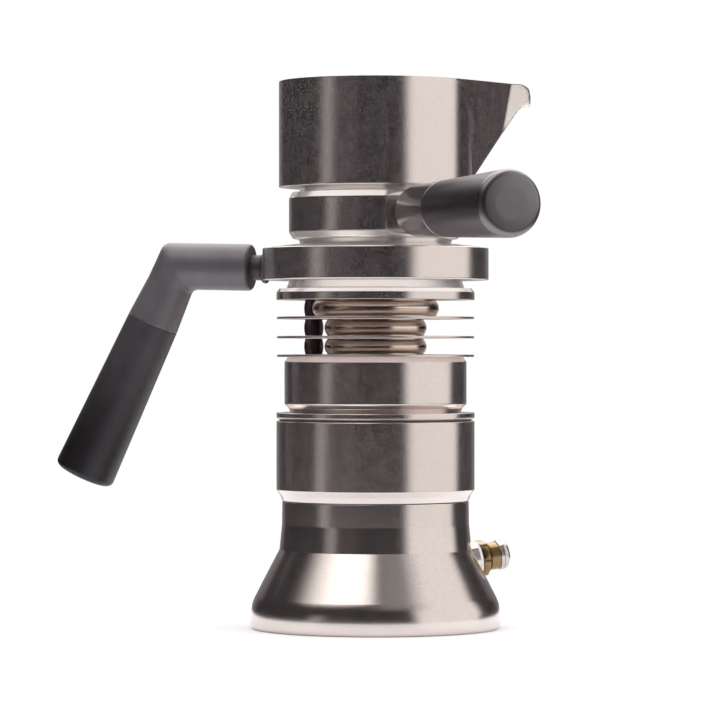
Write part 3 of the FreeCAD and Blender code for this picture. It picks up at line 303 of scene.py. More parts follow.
def makeGripPlastic(name, look):
    paint = Finish(name)
    skin = paint.noise(*look["skin"])
    broad = paint.noise(*look["broad"])
    tone = weighed(look["toneShares"], skin, broad).step(*look["toneSpread"])
    colour = paint.blend(tone, look["low"], look["high"])
    # painted shade: the colour darkens towards the grip's lower end, by height
    colour = paint.blend(paint.z.step(*look["fade"]), look["tip"], colour)
    rough = uneven(look["roughness"], look["uneven"], skin, broad)
    normal = paint.bump(skin, look["bump"], look["bumpDepth"])
    return paint.surface(
        paint.shader(
            {
                "Base Color": colour, "Roughness": rough, "Normal": normal,
                "IOR": look["ior"], "Specular Tint": look["sheen"],
            }
        )
    )


coatLook = {
    "low": rgb(0.135, 0.123, 0.133), "high": rgb(0.180, 0.165, 0.178),
    "roughness": 0.46, "metal": 0.6, "grain": (2300.0, 2.0, 0.6), "cloud": (70.0, 3.0),
    "toneShares": (0.5, 0.5), "toneSpread": (0.3, 0.7), "uneven": (0.12, 0.06),
    "bump": 0.22, "bumpDepth": 0.00004,
}
ferruleLook = {**coatLook, "low": rgb(0.05, 0.046, 0.05), "high": rgb(0.09, 0.082, 0.09)}
collarLook = {
    **coatLook, "low": rgb(0.40, 0.365, 0.38), "high": rgb(0.46, 0.42, 0.435),
    "roughness": 0.23, "metal": 0.96,
}
rubberLook = {
    "low": rgb(0.012, 0.012, 0.012), "high": rgb(0.03, 0.03, 0.03), "roughness": 0.62, "metal": 0.0,
    "grain": (1500.0, 3.0, 0.6), "cloud": (120.0, 2.0),
    "toneShares": (0.6, 0.4), "toneSpread": (0.3, 0.7), "uneven": (0.2,),
    "bump": 0.3, "bumpDepth": 0.00005,
}
washerLook = {**rubberLook, "low": rgb(0.80, 0.80, 0.78), "high": rgb(0.90, 0.90, 0.88), "roughness": 0.45}
seamLook = {**rubberLook, "low": rgb(0.085, 0.038, 0.024), "high": rgb(0.15, 0.070, 0.046), "roughness": 0.42}


def makeGrained(name, look):  # coated metal, rubber and washers
    paint = Finish(name)
    grain = paint.noise(*look["grain"])
    cloud = paint.noise(*look["cloud"])
    tone = weighed(look["toneShares"], grain, cloud).step(*look["toneSpread"])
    colour = paint.blend(tone, look["low"], look["high"])
    rough = uneven(look["roughness"], look["uneven"], grain, cloud)
    normal = paint.bump(grain, look["bump"], look["bumpDepth"])
    return paint.surface(
        paint.shader({"Base Color": colour, "Metallic": look["metal"], "Roughness": rough, "Normal": normal})
    )


finishes = {
    "satin_steel": makeBlastedSteel("satinSteel", steelLook),
    "polished_steel": makeTurnedMetal("polishedSteel", turnedLook),
    "base_steel": makeBlastedSteel("baseSteel", baseLook),
    "fin_steel": makeBlastedSteel("finSteel", finLook),
    "groove_steel": makeTurnedMetal("polishHighlightSteel", polishHighlightLook),
    "pipe_steel": makeTurnedMetal("pipeShadedSteel", pipeShadedLook),
    "tube_steel": makeTurnedMetal("tubeSteel", tubeLook),
    "brass": makeTurnedMetal("turnedBrass", brassLook),
    "valve_steel": makeTurnedMetal("valveCapSteel", valveCapLook),
    "white_washer": makeGrained("whiteWasher", washerLook),
    "red_seal": makeGrained("copperBrownSeal", seamLook),
    "black_rubber": makeGrained("blackRubber", rubberLook),
    "dark_metal": makeGrained("darkCoat", coatLook),
    "black_ferrule": makeGrained("blackFerrule", ferruleLook),
    "collar_metal": makeGrained("collarCoat", collarLook),
    "grip_black": makeGripPlastic("gripPlastic", gripLook),
    "grip_upper": makeGripPlastic("upperGripLitCopyPlastic", upperGripLitCopyLook),
    "spring_steel": makeTurnedMetal("springWire", wireLook),
}
slotOf = {entry["node"]: entry["material_slot"] for entry in frame["record"]["subparts"]}
for nodeName, node in nodes.items():
    node.data.materials.clear()
    node.data.materials.append(finishes[slotOf[nodeName]])
print("stage: finishes,", len(finishes))


rounding = {"steps": 6, "perTurn": 1.2, "leastSteps": 2, "pad": 0.15, "room": 3}
smoothAngle = 38.0  # a sharper edge than this stays an edge
tiny = 1e-6


# a profile point is (radius, height) or (radius, height, rounding)
def roundProfile(points):
    outline = []
    for index, point in enumerate(points):
        corner = Vector(point[:2])
        if len(point) == 2:
            outline.append(corner)
            continue
        size = point[2]
        before = Vector(points[index - 1][:2]) - corner
        after = Vector(points[(index + 1) % len(points)][:2]) - corner
        half = before.angle(after) / 2
        reach = size / math.tan(half)
        start = corner + before.normalized() * reach
        end = corner + after.normalized() * reach
        middle = corner + (before.normalized() + after.normalized()).normalized() * (size / math.sin(half))
        pad = min(rounding["pad"], reach)
        if before.length > rounding["room"] * (reach + pad):
            outline.append(start + before.normalized() * pad)
        first = math.atan2(start.y - middle.y, start.x - middle.x)
        sweep = math.atan2(end.y - middle.y, end.x - middle.x) - first
        sweep = (sweep + math.pi) % (2 * math.pi) - math.pi
        steps = max(rounding["leastSteps"], int(rounding["steps"] * abs(sweep) / rounding["perTurn"] + 1))
        for step in range(steps + 1):
            angle = first + sweep * step / steps
            outline.append(middle + Vector((math.cos(angle), math.sin(angle))) * size)
        if after.length > rounding["room"] * (reach + pad):
            outline.append(end + after.normalized() * pad)
    return outline


def addObject(name, made, finish, smooth=smoothAngle):
    mesh = bpy.data.meshes.new(name)
    bmesh.ops.recalc_face_normals(made, faces=made.faces)
    made.to_mesh(mesh)
    made.free()
    for polygon in mesh.polygons:
        polygon.use_smooth = True
    mesh.set_sharp_from_angle(angle=math.radians(smooth))
    mesh.materials.append(finishes[finish])
    piece = bpy.data.objects.new(name, mesh)
    scene.collection.objects.link(piece)
    return piece


# rings of points are joined by faces, and a ring of one point closes an end
def skin(made, rings, closed=False):
    for low, high in zip(rings, rings[1:] + rings[:1] if closed else rings[1:]):
        if len(low) == 1 and len(high) == 1:
            continue
        size = max(len(low), len(high))
        for index in range(size):
            after = (index + 1) % size
            if len(low) == 1:
                made.faces.new((low[0], high[index], high[after]))
            elif len(high) == 1:
                made.faces.new((low[index], low[after], high[0]))
            else:
                made.faces.new((low[index], low[after], high[after], high[index]))


def onRing(far, angle, height):
    return (far * math.cos(angle) * mm, far * math.sin(angle) * mm, height * mm)


# shape(radius, height, angle) may change a point's distance from the axis
def turnedPiece(name, points, finish, segments, shape=None, place=None):
    made = bmesh.new()
    rings = []
    for radius, height in roundProfile(points):
        if radius < tiny:
            rings.append([made.verts.new((0, 0, height * mm))])
            continue
        ring = []
        for index in range(segments):
            angle = 2 * math.pi * index / segments
            far = shape(radius, height, angle) if shape else radius
            ring.append(made.verts.new(onRing(far, angle, height)))
        rings.append(ring)
    skin(made, rings, True)
    if place:
        bmesh.ops.transform(made, matrix=place, verts=made.verts)
    return addObject(name, made, finish)


# a section is (centre, across, up, half width, half height)
def sweptPiece(name, sections, finish, segments):
    made = bmesh.new()
    rings = []
    angles = [2 * math.pi * index / segments for index in range(segments)]
    for centre, across, up, wide, high in sections:
        if wide < tiny:
            rings.append([made.verts.new(centre * mm)])
            continue
        ring = []
        for angle in angles:
            point = centre + across * (wide * math.cos(angle)) + up * (high * math.sin(angle))
            ring.append(made.verts.new(point * mm))
        rings.append(ring)
    skin(made, rings)
    return addObject(name, made, finish)


# a thread is its radius, its lowest and highest height, its pitch and its depth
def threadShape(radius, low, high, pitch, depth, slack=0.01):
    def shape(far, height, angle):
        if abs(far - radius) > slack or not low < height < high:
            return far
        phase = (height / pitch - angle / (2 * math.pi)) % 1.0
        fade = min(1.0, (height - low) / pitch, (high - height) / pitch)
        return far + depth * fade * (1 - abs(2 * phase - 1))

    return shape


def threadPoints(radius, low, high, step=0.2):
    count = int(abs(high - low) / step)
    return [(radius, low + (high - low) * index / count) for index in range(1, count)]


def combined(piece, tool, operation):
    change = piece.modifiers.new("change", "BOOLEAN")
    change.operation = operation
    change.solver = "EXACT"
    change.object = tool
    bpy.context.view_layer.update()
    grown = piece.evaluated_get(bpy.context.evaluated_depsgraph_get())
    mesh = bpy.data.meshes.new_from_object(grown)
    piece.modifiers.clear()
    piece.data = mesh
    mesh.set_sharp_from_angle(angle=math.radians(smoothAngle))
    bpy.data.objects.remove(tool)


# adds or cuts a plain rod, whose faces take the piece's own finish
def withRod(piece, operation, radius, low, high, place=None, segments=48):
    profile = [(0, low), (radius, low), (radius, high), (0, high)]
    combined(piece, turnedPiece("rod", profile, "tube_steel", segments, place=place), operation)


# the place of a turned piece whose axis starts at origin and points that way
def aimed(azimuth, tilt, origin):
    turn, rise = math.radians(azimuth), math.radians(tilt)
    way = Vector((math.cos(rise) * math.cos(turn), math.cos(rise) * math.sin(turn), math.sin(rise)))
    side = Vector((math.sin(turn), -math.cos(turn), 0))
    up = side.cross(way)
    across = way.cross(up)
    return Matrix.Translation(Vector(origin) * mm) @ Matrix((up, across, way)).transposed().to_4x4()


# polished bands on rounds and undercuts get the brighter steel, partly a painted highlight
def polishAndHighlightBand(piece, heights, radii):
    piece.data.materials.append(finishes["groove_steel"])
    spot = len(piece.data.materials) - 1
    for polygon in piece.data.polygons:
        middle = polygon.center / mm
        far = math.hypot(middle.x, middle.y)
        if heights[0] < middle.z < heights[1] and radii[0] < far < radii[1]:
            polygon.material_index = spot


def softMax(first, second, width):
    part = max(0.0, 1 - abs(first - second) / width)
    return max(first, second) + part * part * width / 4


def standIn(piece, body, node):
    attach(piece, body)
    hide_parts(node)


def turnedPart(name, size, body, node, shape=None, place=None):
    piece = turnedPiece(name, size["profile"], size["finish"], size["segments"], shape, place)
    standIn(piece, body, node)


# the face of the foot that the relief valve sits on
reliefSizes = {"azimuth": 18.0, "rise": 8.0, "face": 42.4, "z": 26.9}
reliefTurn = math.radians(reliefSizes["azimuth"])
reliefFace = (
    reliefSizes["face"] * math.cos(reliefTurn), reliefSizes["face"] * math.sin(reliefTurn), reliefSizes["z"],
)
reliefPlace = aimed(reliefSizes["azimuth"], reliefSizes["rise"], reliefFace)
# a rod is its radius and the heights of its two ends
baseSizes = {
    "finish": "base_steel", "segments": 256,
    "outside": (
        (0, 0), (49.95, 0, 1.6), (50.2, 8.9, 16.0),  # foot
        (38.4, 31.6, 0.35), (37.4, 41.6, 6.0), (37.3, 50.8, 0.25),  # ridge, wall and shoulder
        (36.5, 50.8, 0.1), (36.5, 49.6), (34.9, 49.6), (34.9, 50.8, 0.1), (34.4, 50.8),  # seal groove
    ),
    "inside": (
        (34.4, 60.0, 0.3), (31.4, 60.0, 0.3), (31.4, 47.0, 1.5), (34.4, 43.5, 1.5),
        (35.4, 31.0, 1.0), (46.4, 9.0, 4.0), (44.0, 4.5, 1.0), (0, 4.5),
    ),
    "neckR": 34.4, "threadLow": 50.8 + 0.8, "threadHigh": 60.0 - 0.6, "pitch": 2.0, "depth": -0.75,
    "boss": (7.0, -9.0, 0.5), "seat": (7.9, 0, 6.0), "bore": (4.95, -18.0, 0.3),
}


def makeBase(size):
    neck, low, high = size["neckR"], size["threadLow"], size["threadHigh"]
    profile = [*size["outside"], (neck, low), *threadPoints(neck, low, high), (neck, high), *size["inside"]]
    shape = threadShape(neck, low, high, size["pitch"], size["depth"])
    base = turnedPiece("boilerBase", profile, size["finish"], size["segments"], shape)
    withRod(base, "UNION", *size["boss"], place=reliefPlace, segments=96)
    withRod(base, "DIFFERENCE", *size["seat"], place=reliefPlace, segments=96)
    withRod(base, "DIFFERENCE", *size["bore"], place=reliefPlace, segments=64)
    standIn(base, "base", "boiler_base")


makeBase(baseSizes)


washerSizes = {
    "finish": "white_washer", "segments": 96,
    "profile": ((5.1, 0, 0.15), (7.0, 0, 0.3), (7.0, 1.1, 0.3), (5.1, 1.1, 0.15)),
}
reliefBodySizes = {
    "finish": "brass", "segments": 144, "hexHalf": 6.5, "hexTurn": 40.0,
    "profile": (
        (1.6, -6.0), (4.9, -6.0, 0.3), (4.9, 1.1), (6.3, 1.1), (7.5, 1.7), (7.5, 3.7), (6.5, 4.4),
        (5.0, 4.4, 0.2), (5.0, 5.1, 0.2), (5.5, 5.5, 0.3), (5.5, 9.2), (3.4, 9.2), (3.4, -3.0), (1.6, -3.0),
    ),
}
reliefCapSizes = {
    "finish": "valve_steel", "segments": 128,
    "profile": (
        (1.7, 8.0), (3.35, 8.0), (3.35, 9.2), (6.0, 9.2, 0.25), (6.0, 10.6), (5.8, 10.75), (6.0, 10.9),
        (6.0, 13.6, 2.6), (1.7, 13.6, 0.2),
    ),
}
reliefPlugSizes = {
    "finish": "brass", "segments": 64,
    "profile": ((0, -2.7), (2.9, -2.7, 0.2), (2.9, -1.5, 0.2), (1.3, -1.5), (1.3, 14.4, 0.4), (0, 14.4)),
}


# cuts six flats at this distance into what stands out beyond them
def hexShape(half, turn):
    def shape(far, height, angle):
        if far < half:
            return far
        corner = (angle - math.radians(turn)) % (math.pi / 3) - math.pi / 6
        return min(far, half / math.cos(corner))

    return shape


def makeRelief():
    hexagon = hexShape(reliefBodySizes["hexHalf"], reliefBodySizes["hexTurn"])
    turnedPart("reliefWasher", washerSizes, "base", "relief_gasket", place=reliefPlace)
    turnedPart("reliefBody", reliefBodySizes, "base", "relief_body", hexagon, reliefPlace)
    turnedPart("reliefCap", reliefCapSizes, "base", "relief_cap", place=reliefPlace)
    turnedPart("reliefPlug", reliefPlugSizes, "relief_plug", "relief_poppet", place=reliefPlace)


makeRelief()
print("stage: base and relief valve")


jacketSizes = {
    "finish": "satin_steel", "segments": 256,
    "profile": (
        (34.46, 51.1, 0.1), (37.2, 51.1, 0.15), (38.1, 53.3, 1.0), (39.6, 55.5, 0.6), (39.6, 82.9, 0.45),
        (36.6, 82.9, 0.1), (36.6, 60.4), (34.46, 60.4), *threadPoints(34.46, 60.4, 51.1),
    ),
    "thread": (34.46, 51.5, 60.2, 2.0, 0.75),
}
seamSizes = {
    "finish": "red_seal", "segments": 192,
    "profile": ((36.65, 82.9), (38.4, 82.9, 0.15), (38.4, 83.5, 0.15), (36.65, 83.5)),
}
boilerCapSizes = {
    "finish": "satin_steel", "segments": 256,
    "profile": (
        (32.2, 76.0), (36.5, 76.0, 0.4), (36.5, 83.5), (38.9, 83.65, 0.12), (39.6, 84.35, 0.15),
        (39.6, 86.2, 0.3), (34.1, 86.2, 0.1), (34.7, 88.0, 0.5), (36.4, 89.7, 1.0), (36.4, 106.4, 1.2),
        (35.1, 108.35, 0.3), (4.0, 108.35), (4.0, 104.5), (32.2, 104.5, 1.0),
    ),
}
boilerSealSizes = {
    "finish": "black_rubber", "segments": 192,
    "profile": ((35.1, 49.8, 0.2), (36.3, 49.8, 0.2), (36.3, 50.9, 0.45), (35.1, 50.9, 0.45)),
}


def makeBoilerBody():
    turnedPart("boilerJacket", jacketSizes, "main_body", "boiler_jacket", threadShape(*jacketSizes["thread"]))
    turnedPart("seamSeal", seamSizes, "main_body", "cap_seal")
    turnedPart("boilerCap", boilerCapSizes, "main_body", "boiler_cap")
    turnedPart("boilerSeal", boilerSealSizes, "seal_ring", "boiler_seal")


makeBoilerBody()
print("stage: boiler body")


stackLevels = ("lower", "middle", "upper")
finSizes = {
    "finish": "fin_steel", "segments": 256, "r": 39.4, "thick": 1.1, "round": 0.3, "bore": 4.0,
    "tops": (109.45, 116.85, 124.55, 131.2),  # the last is where the top plate starts
}
hubRingSizes = {
    "finish": "polished_steel", "segments": 192, "radii": (20.4, 20.4, 25.3), "bore": 4.0, "bow": 1.15,
    "neck": 0.35, "rows": 14,
}
pipeRingSizes = {
    "finish": "pipe_steel", "segments": 72, "radii": (3.9, 3.9, 3.9), "bore": 2.05, "bow": 0.4,
    "neck": 0.35, "rows": 14, "azimuth": 146.6, "reach": 29.8,
}
topPlateSizes = {
    "finish": "satin_steel", "segments": 256,
    "profile": ((4.0, 131.2), (39.6, 131.2, 0.2), (39.6, 134.2, 0.6), (38.4, 135.8, 0.3), (4.0, 135.8)),
    "polished": ((134.3, 136.0), (30.0, 40.0)),
}


# a barrel shaped ring, its side an arc that stands out by bow at its middle
def ringProfile(size, radius, low, high):
    half = (high - low) / 2 - size["neck"]
    bow = (half * half + size["bow"] * size["bow"]) / (2 * size["bow"])
    turn = math.asin(half / bow)
    outline = [(size["bore"], low), (radius - size["bow"], low)]
    for step in range(size["rows"] + 1):
        angle = turn * (2 * step / size["rows"] - 1)
        outline.append((radius - bow * (1 - math.cos(angle)), (low + high) / 2 + bow * math.sin(angle)))
    return outline + [(radius - size["bow"], high), (size["bore"], high)]


def makeStack(fin, hub, small):
    angle = math.radians(small["azimuth"])
    pipe = Matrix.Translation(Vector((math.cos(angle), math.sin(angle), 0)) * (small["reach"] * mm))
    for index, level in enumerate(stackLevels):
        top = fin["tops"][index]
        foot = top - fin["thick"]
        last = level == stackLevels[-1]
        roof = fin["tops"][index + 1] - (0 if last else fin["thick"])
        disc = [
            (fin["bore"], foot), (fin["r"], foot, fin["round"]),
            (fin["r"], top, fin["round"]), (fin["bore"], top),
        ]
        ring = ringProfile(hub, hub["radii"][index], top, roof)
        smallRing = ringProfile(small, small["radii"][index], top, roof)
        turnedPart(level + "Fin", {**fin, "profile": disc}, "main_body", level + "_fin")
        turnedPart(level + "HubRing", {**hub, "profile": ring}, "main_body", level + "_hub_ring")
        turnedPart(
            level + "PipeRing", {**small, "profile": smallRing}, "main_body", level + "_pipe_ring", place=pipe
        )


def makeTopPlate(size):
    plate = turnedPiece("topPlate", size["profile"], size["finish"], size["segments"])
    polishAndHighlightBand(plate, *size["polished"])
    standIn(plate, "main_body", "top_plate")


makeStack(finSizes, hubRingSizes, pipeRingSizes)
makeTopPlate(topPlateSizes)
print("stage: cooling stack")


# along a handle, heights are distances from the object's axis
lowerSizes = {
    "finish": "dark_metal", "segments": 96, "azimuth": 166.0, "tilt": 1.25, "axisZ": 143.3,
    "armStart": 51.3, "armR": 9.4, "startR": 3.0, "startGap": 0.2,
    "chamfer": 1.2, "chamferRows": 6, "chamferGap": 0.3,
    "corner": 82.0, "lean": 25.6, "innerRound": 3.5, "outerRound": 4.0, "bendRows": 36, "bendGap": 0.6,
    "legLength": 25.2, "legR": 10.5, "legSwell": 0.03,
    "legRim": ((0.5, 0.02), (0.25, 0.0), (0.07, 0.08), (0.0, 0.3)),  # how far from the end, and how far in
    "bore": (3.0, 50.0, 68.05), "socketR": 6.05, "socketDepth": 11.0, "socketOut": 1.0,
}
lowerPlace = aimed(lowerSizes["azimuth"], lowerSizes["tilt"], (0, 0, lowerSizes["axisZ"]))
groupSizes = {
    "finish": "satin_steel", "segments": 256,
    "outside": (
        (4.0, 135.8), (35.5, 135.8, 0.2), (34.5, 139.1, 0.2), (45.2, 139.1, 0.55), (45.2, 151.9, 0.5),
        (32.8, 153.4, 0.6), (28.4, 153.4, 0.4),
    ),
    "inside": ((28.4, 146.6), (27.0, 146.6, 0.3), (27.0, 138.2, 1.0), (4.0, 138.2)),
    "threadR": 28.4, "threadLow": 146.6 + 1.6, "threadHigh": 153.4 - 0.5, "pitch": 1.6, "depth": 0.6,
    "studHole": (3.0, 36.9, 52.0),
    "polished": (((135.5, 139.15), (33.0, 45.3)), ((151.95, 153.5), (28.6, 44.8))),
}


def makeGroup(size):
    radius, low, high = size["threadR"], size["threadLow"], size["threadHigh"]
    profile = [*size["outside"], *threadPoints(radius, high, low), *size["inside"]]
    shape = threadShape(radius, low, high, size["pitch"], size["depth"])
    head = turnedPiece("groupHead", profile, size["finish"], size["segments"], shape)
    withRod(head, "DIFFERENCE", *size["studHole"], place=lowerPlace)
    for band in size["polished"]:
        polishAndHighlightBand(head, *band)
    standIn(head, "main_body", "group_head")


makeGroup(groupSizes)


upperSizes = {"azimuth": -68.5, "axisZ": 165.3}
upperPlace = aimed(upperSizes["azimuth"], 0.0, (0, 0, upperSizes["axisZ"]))
chamberSizes = {
    "finish": "satin_steel", "segments": 360,
    # a flat for the upper handle is milled into the wall, from flatFrom upwards
    "flat": 33.46, "flatAzimuth": upperSizes["azimuth"], "flatFrom": 155.0,
    "flatReach": 2.0, "flatWide": 0.5, "flatSoft": 0.25,
    "spigot": ((26.2, 149.7, 0.15), (28.34, 149.7, 0.3), (28.34, 150.2)),
    "outside": (
        (28.34, 152.6), (28.34, 153.45), (30.0, 153.5, 0.1), (30.8, 155.4, 0.15), (33.0, 155.6, 0.9),
        (34.6, 158.3, 1.2), (34.6, 171.6, 1.2), (33.0, 174.3, 0.9), (30.5, 174.5, 0.05), (29.6, 176.2, 0.1),
    ),
    "inside": (
        (5.05, 176.2), (5.05, 169.5), (22.0, 169.5, 1.0), (22.0, 154.0, 1.0), (23.0, 150.7), (26.2, 150.7),
    ),
    "spigotR": 28.34, "threadLow": 150.2, "threadHigh": 152.6, "pitch": 1.6, "depth": -0.6,
    "studHole": (3.0, 25.9, 40.0),
    "polished": (((171.6, 176.3), (26.0, 34.55)), ((153.3, 158.6), (28.2, 34.55))),
}


def makeChamber(size):
    face = math.radians(size["flatAzimuth"])
    radius, low, high = size["spigotR"], size["threadLow"], size["threadHigh"]
    thread = threadShape(radius, low, high, size["pitch"], size["depth"])

    def shape(far, height, angle):
        across = math.cos(angle - face)
        if height > size["flatFrom"] and far > size["flat"] - size["flatReach"] and across > size["flatWide"]:
            return -softMax(-far, -size["flat"] / across, size["flatSoft"])
        return thread(far, height, angle)

    profile = [*size["spigot"], *threadPoints(radius, low, high), *size["outside"], *size["inside"]]
    chamber = turnedPiece("outletChamber", profile, size["finish"], size["segments"], shape)
    withRod(chamber, "DIFFERENCE", *size["studHole"], place=upperPlace)
    for band in size["polished"]:
        polishAndHighlightBand(chamber, *band)
    standIn(chamber, "upper_vessel", "outlet_chamber")


makeChamber(chamberSizes)
print("stage: group head and outlet chamber")


# the spout is a V: its keel is (reach, height), its tip (height, reach), and it is widest at its top
jugSizes = {
    "finish": "satin_steel", "segments": 600, "smooth": 50.0,
    "r": 38.6, "wall": 1.6, "lowZ": 176.2, "floorZ": 178.6, "topZ": 218.4,
    "azimuth": 20.0, "halfAngle": 35.0,
    "keel": (
        (20.0, 148.8), (39.4, 176.7), (57.4, 202.6), (59.1, 205.1), (60.6, 207.0), (62.1, 208.6),
        (63.8, 209.4), (66.4, 209.7), (80.0, 211.0),
    ),
    "tip": ((209.0, 66.4), (213.4, 66.4), (215.4, 66.1), (216.9, 65.6), (217.9, 64.4), (218.4, 62.8)),
    "lean": 0.48, "fold": 54.8, "lipTaper": 0.28, "underLean": 2.6, "keelRound": 0.12,
    "noseRound": 2.4, "noseFlare": 0.6,
    "search": (5.0, 90.0), "searchSteps": 40, "blend": 2.4, "blendTurn": 0.35, "leastBlend": 0.001,
    "evenShare": 0.35, "crowding": 1.2,  # the rows of points stand closer at the spout
    "footRound": 0.25, "footRows": 6, "footStart": 0.01,
    "floorRound": 1.0, "floorRows": 5, "floorGap": 1.2,
    # each run of rows is its first height, its spacing and its count
    "rows": ((176.2 + 0.95, 1.25, 20), (201.8, 0.4, 17), (208.5, 0.08, 25), (210.8, 0.4, 19)),
    "rowsGap": 0.3, "rim": ((0.22, 0.0), (0.06, 0.05), (0.0, 0.22)),  # how far down, and how far in
    "channelR": 0.9, "channelLength": 16.0, "channelStart": (56.0, 0, 220.0), "channelTurn": 120.0,
    "polished": ((176.0, 176.25), (20.0, 38.5)),
}


def between(table, place):
    if place <= table[0][0]:
        return table[0][1]
    for low, high in zip(table, table[1:]):
        if place <= high[0]:
            return low[1] + (high[1] - low[1]) * (place - low[0]) / (high[0] - low[0])
    return table[-1][1]


# half the spout's width where it reaches this far at this height
def spoutWidth(size, reach, height):
    beyond = max(0.0, reach - size["fold"])
    above = height - between(size["keel"], min(reach, size["fold"]))
    flank = above * size["lean"] - beyond * size["lipTaper"]
    if beyond:
        flank = min(flank, (height - between(size["keel"], reach)) * size["underLean"])
    left = max(0.0, between(size["tip"], height) - reach)
    nose = size["noseRound"] * math.sqrt(2 * left) + left * size["noseFlare"]
    blunt = size["keelRound"]
    return min(flank - blunt * math.exp(-max(0.0, flank) / blunt), nose)


# how far the wall stands from the axis, the round vessel and the spout blended
def jugReach(size, height, angle, inward):
    off = abs((angle - math.radians(size["azimuth"]) + math.pi) % (2 * math.pi) - math.pi)
    wallReach = size["r"] - inward
    touch = math.radians(90.0 - size["halfAngle"])
    if off > touch:
        return wallReach
    low, high = size["search"]
    offset = inward / math.cos(math.radians(size["halfAngle"]))
    for _ in range(size["searchSteps"]):
        middle = (low + high) / 2
        reach = middle * math.cos(off)
        if spoutWidth(size, reach, height) - offset > middle * math.sin(off):
            low = middle
        else:
            high = middle
    blend = size["blend"] * min(1.0, (touch - off) / size["blendTurn"]) + size["leastBlend"]
    return softMax(wallReach, low, blend)


def jugAngles(size):
    centre = math.radians(size["azimuth"])
    even = size["evenShare"]
    angles = []
    for index in range(size["segments"]):
        part = index / size["segments"] * 2 - 1
        angles.append(centre + math.pi * (even * part + (1 - even) * part * abs(part) ** size["crowding"]))
    return angles


def makeJug(size):
    made = bmesh.new()
    angles = jugAngles(size)
    low, top, floor, wall = size["lowZ"], size["topZ"], size["floorZ"], size["wall"]
    rings = [[made.verts.new((0, 0, low * mm))]]

    def addRing(height, inward, level=None, shrink=0.0):
        ring = []
        for angle in angles:
            far = jugReach(size, level or height, angle, inward) - shrink
            ring.append(made.verts.new(onRing(far, angle, height)))
        rings.append(ring)

    for step in range(size["footRows"] + 1):
        turn = math.pi / 2 * step / size["footRows"]
        height = low + size["footRound"] * (1 - math.cos(turn))
        addRing(height, 0.0, max(height, low + size["footStart"]), size["footRound"] * (1 - math.sin(turn)))
    heights = [first + index * spacing for first, spacing, count in size["rows"] for index in range(count)]
    heights = [height for height in heights if height < top - size["rowsGap"]]
    for height in heights:
        addRing(height, 0.0)
    for down, inward in size["rim"]:
        addRing(top - down, inward)
    for down, inward in reversed(size["rim"]):
        addRing(top - down, wall - inward)
    for height in reversed(heights[::2]):
        if height > floor + size["floorGap"]:
            addRing(height, wall)
    for step in range(size["floorRows"] + 1):
        turn = math.pi / 2 * step / size["floorRows"]
        inward = wall + size["floorRound"] * (1 - math.cos(turn))
        addRing(floor + size["floorRound"] * (1 - math.sin(turn)), inward)
    rings.append([made.verts.new((0, 0, floor * mm))])
    skin(made, rings)
    jug = addObject("pouringJug", made, size["finish"], size["smooth"])
    channelPlace = (
        Matrix.Rotation(math.radians(size["azimuth"]), 4, "Z")
        @ Matrix.Translation(Vector(size["channelStart"]) * mm)
        @ Matrix.Rotation(math.radians(size["channelTurn"]), 4, "Y")
    )
    withRod(jug, "DIFFERENCE", size["channelR"], 0, size["channelLength"], place=channelPlace)
    polishAndHighlightBand(jug, *size["polished"])
    standIn(jug, "upper_vessel", "jug")


makeJug(jugSizes)
print("stage: jug")


columnSizes = {
    "finish": "tube_steel", "segments": 96,
    "profile": (
        (2.6, 169.5), (4.95, 169.5, 0.2), (4.95, 178.6), (10.0, 178.6, 0.1), (10.0, 180.2, 0.6),
        (7.6, 181.6, 0.8), (6.4, 198.0, 0.4), (6.4, 203.0, 0.2), (4.6, 203.0), (4.6, 196.5),
        (2.0, 196.5), (2.0, 195.0), (2.6, 195.0),
    ),
    "ventZ": 199.2, "ventAzimuths": (90, 150, 210), "vent": (1.1, -9, 9),
}
columnCapSizes = {
    "finish": "tube_steel", "segments": 96,
    "profile": (
        (6.45, 200.8), (7.6, 200.8, 0.3), (7.6, 206.2, 0.9), (1.5, 206.2, 0.2), (1.5, 203.4), (6.45, 203.4),
    ),
}
brewSpringSizes = {
    "finish": "spring_steel", "segments": 16,
    "r": 2.4, "wire": 0.3, "lowZ": 198.05, "topZ": 203.35, "turns": 4.5, "steps": 160,
    "squeezed": 0.71,  # what is left of its length when the valve is open
}


def makeColumn(size):
    column = turnedPiece("outletColumn", size["profile"], size["finish"], size["segments"])
    for azimuth in size["ventAzimuths"]:
        across = aimed(azimuth, 0, (0, 0, size["ventZ"]))
        withRod(column, "DIFFERENCE", *size["vent"], place=across, segments=32)
    standIn(column, "upper_vessel", "outlet_column")
    turnedPart("columnCap", columnCapSizes, "upper_vessel", "column_cap")


def makeBrewSpring(size):
    way = Vector((0, 0, 1))
    wire = size["wire"]
    sections = []
    for index in range(size["steps"] + 1):
        part = index / size["steps"]
        angle = 2 * math.pi * size["turns"] * part
        out = Vector((math.cos(angle), math.sin(angle), 0))
        height = size["lowZ"] + wire + (size["topZ"] - size["lowZ"] - 2 * wire) * part
        centre = out * size["r"] + way * height
        sections.append((centre, out, way, wire, wire))
    first, last = [(*end[:3], 0.0, 0.0) for end in (sections[0], sections[-1])]  # these close the ends
    sections = [first, *sections, last]
    spring = sweptPiece("brewSpring", sections, size["finish"], size["segments"])
    standIn(spring, "upper_vessel", "brew_spring")
    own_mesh(spring)


makeColumn(columnSizes)
print("stage: outlet column")
makeBrewSpring(brewSpringSizes)
print("stage: brew spring")


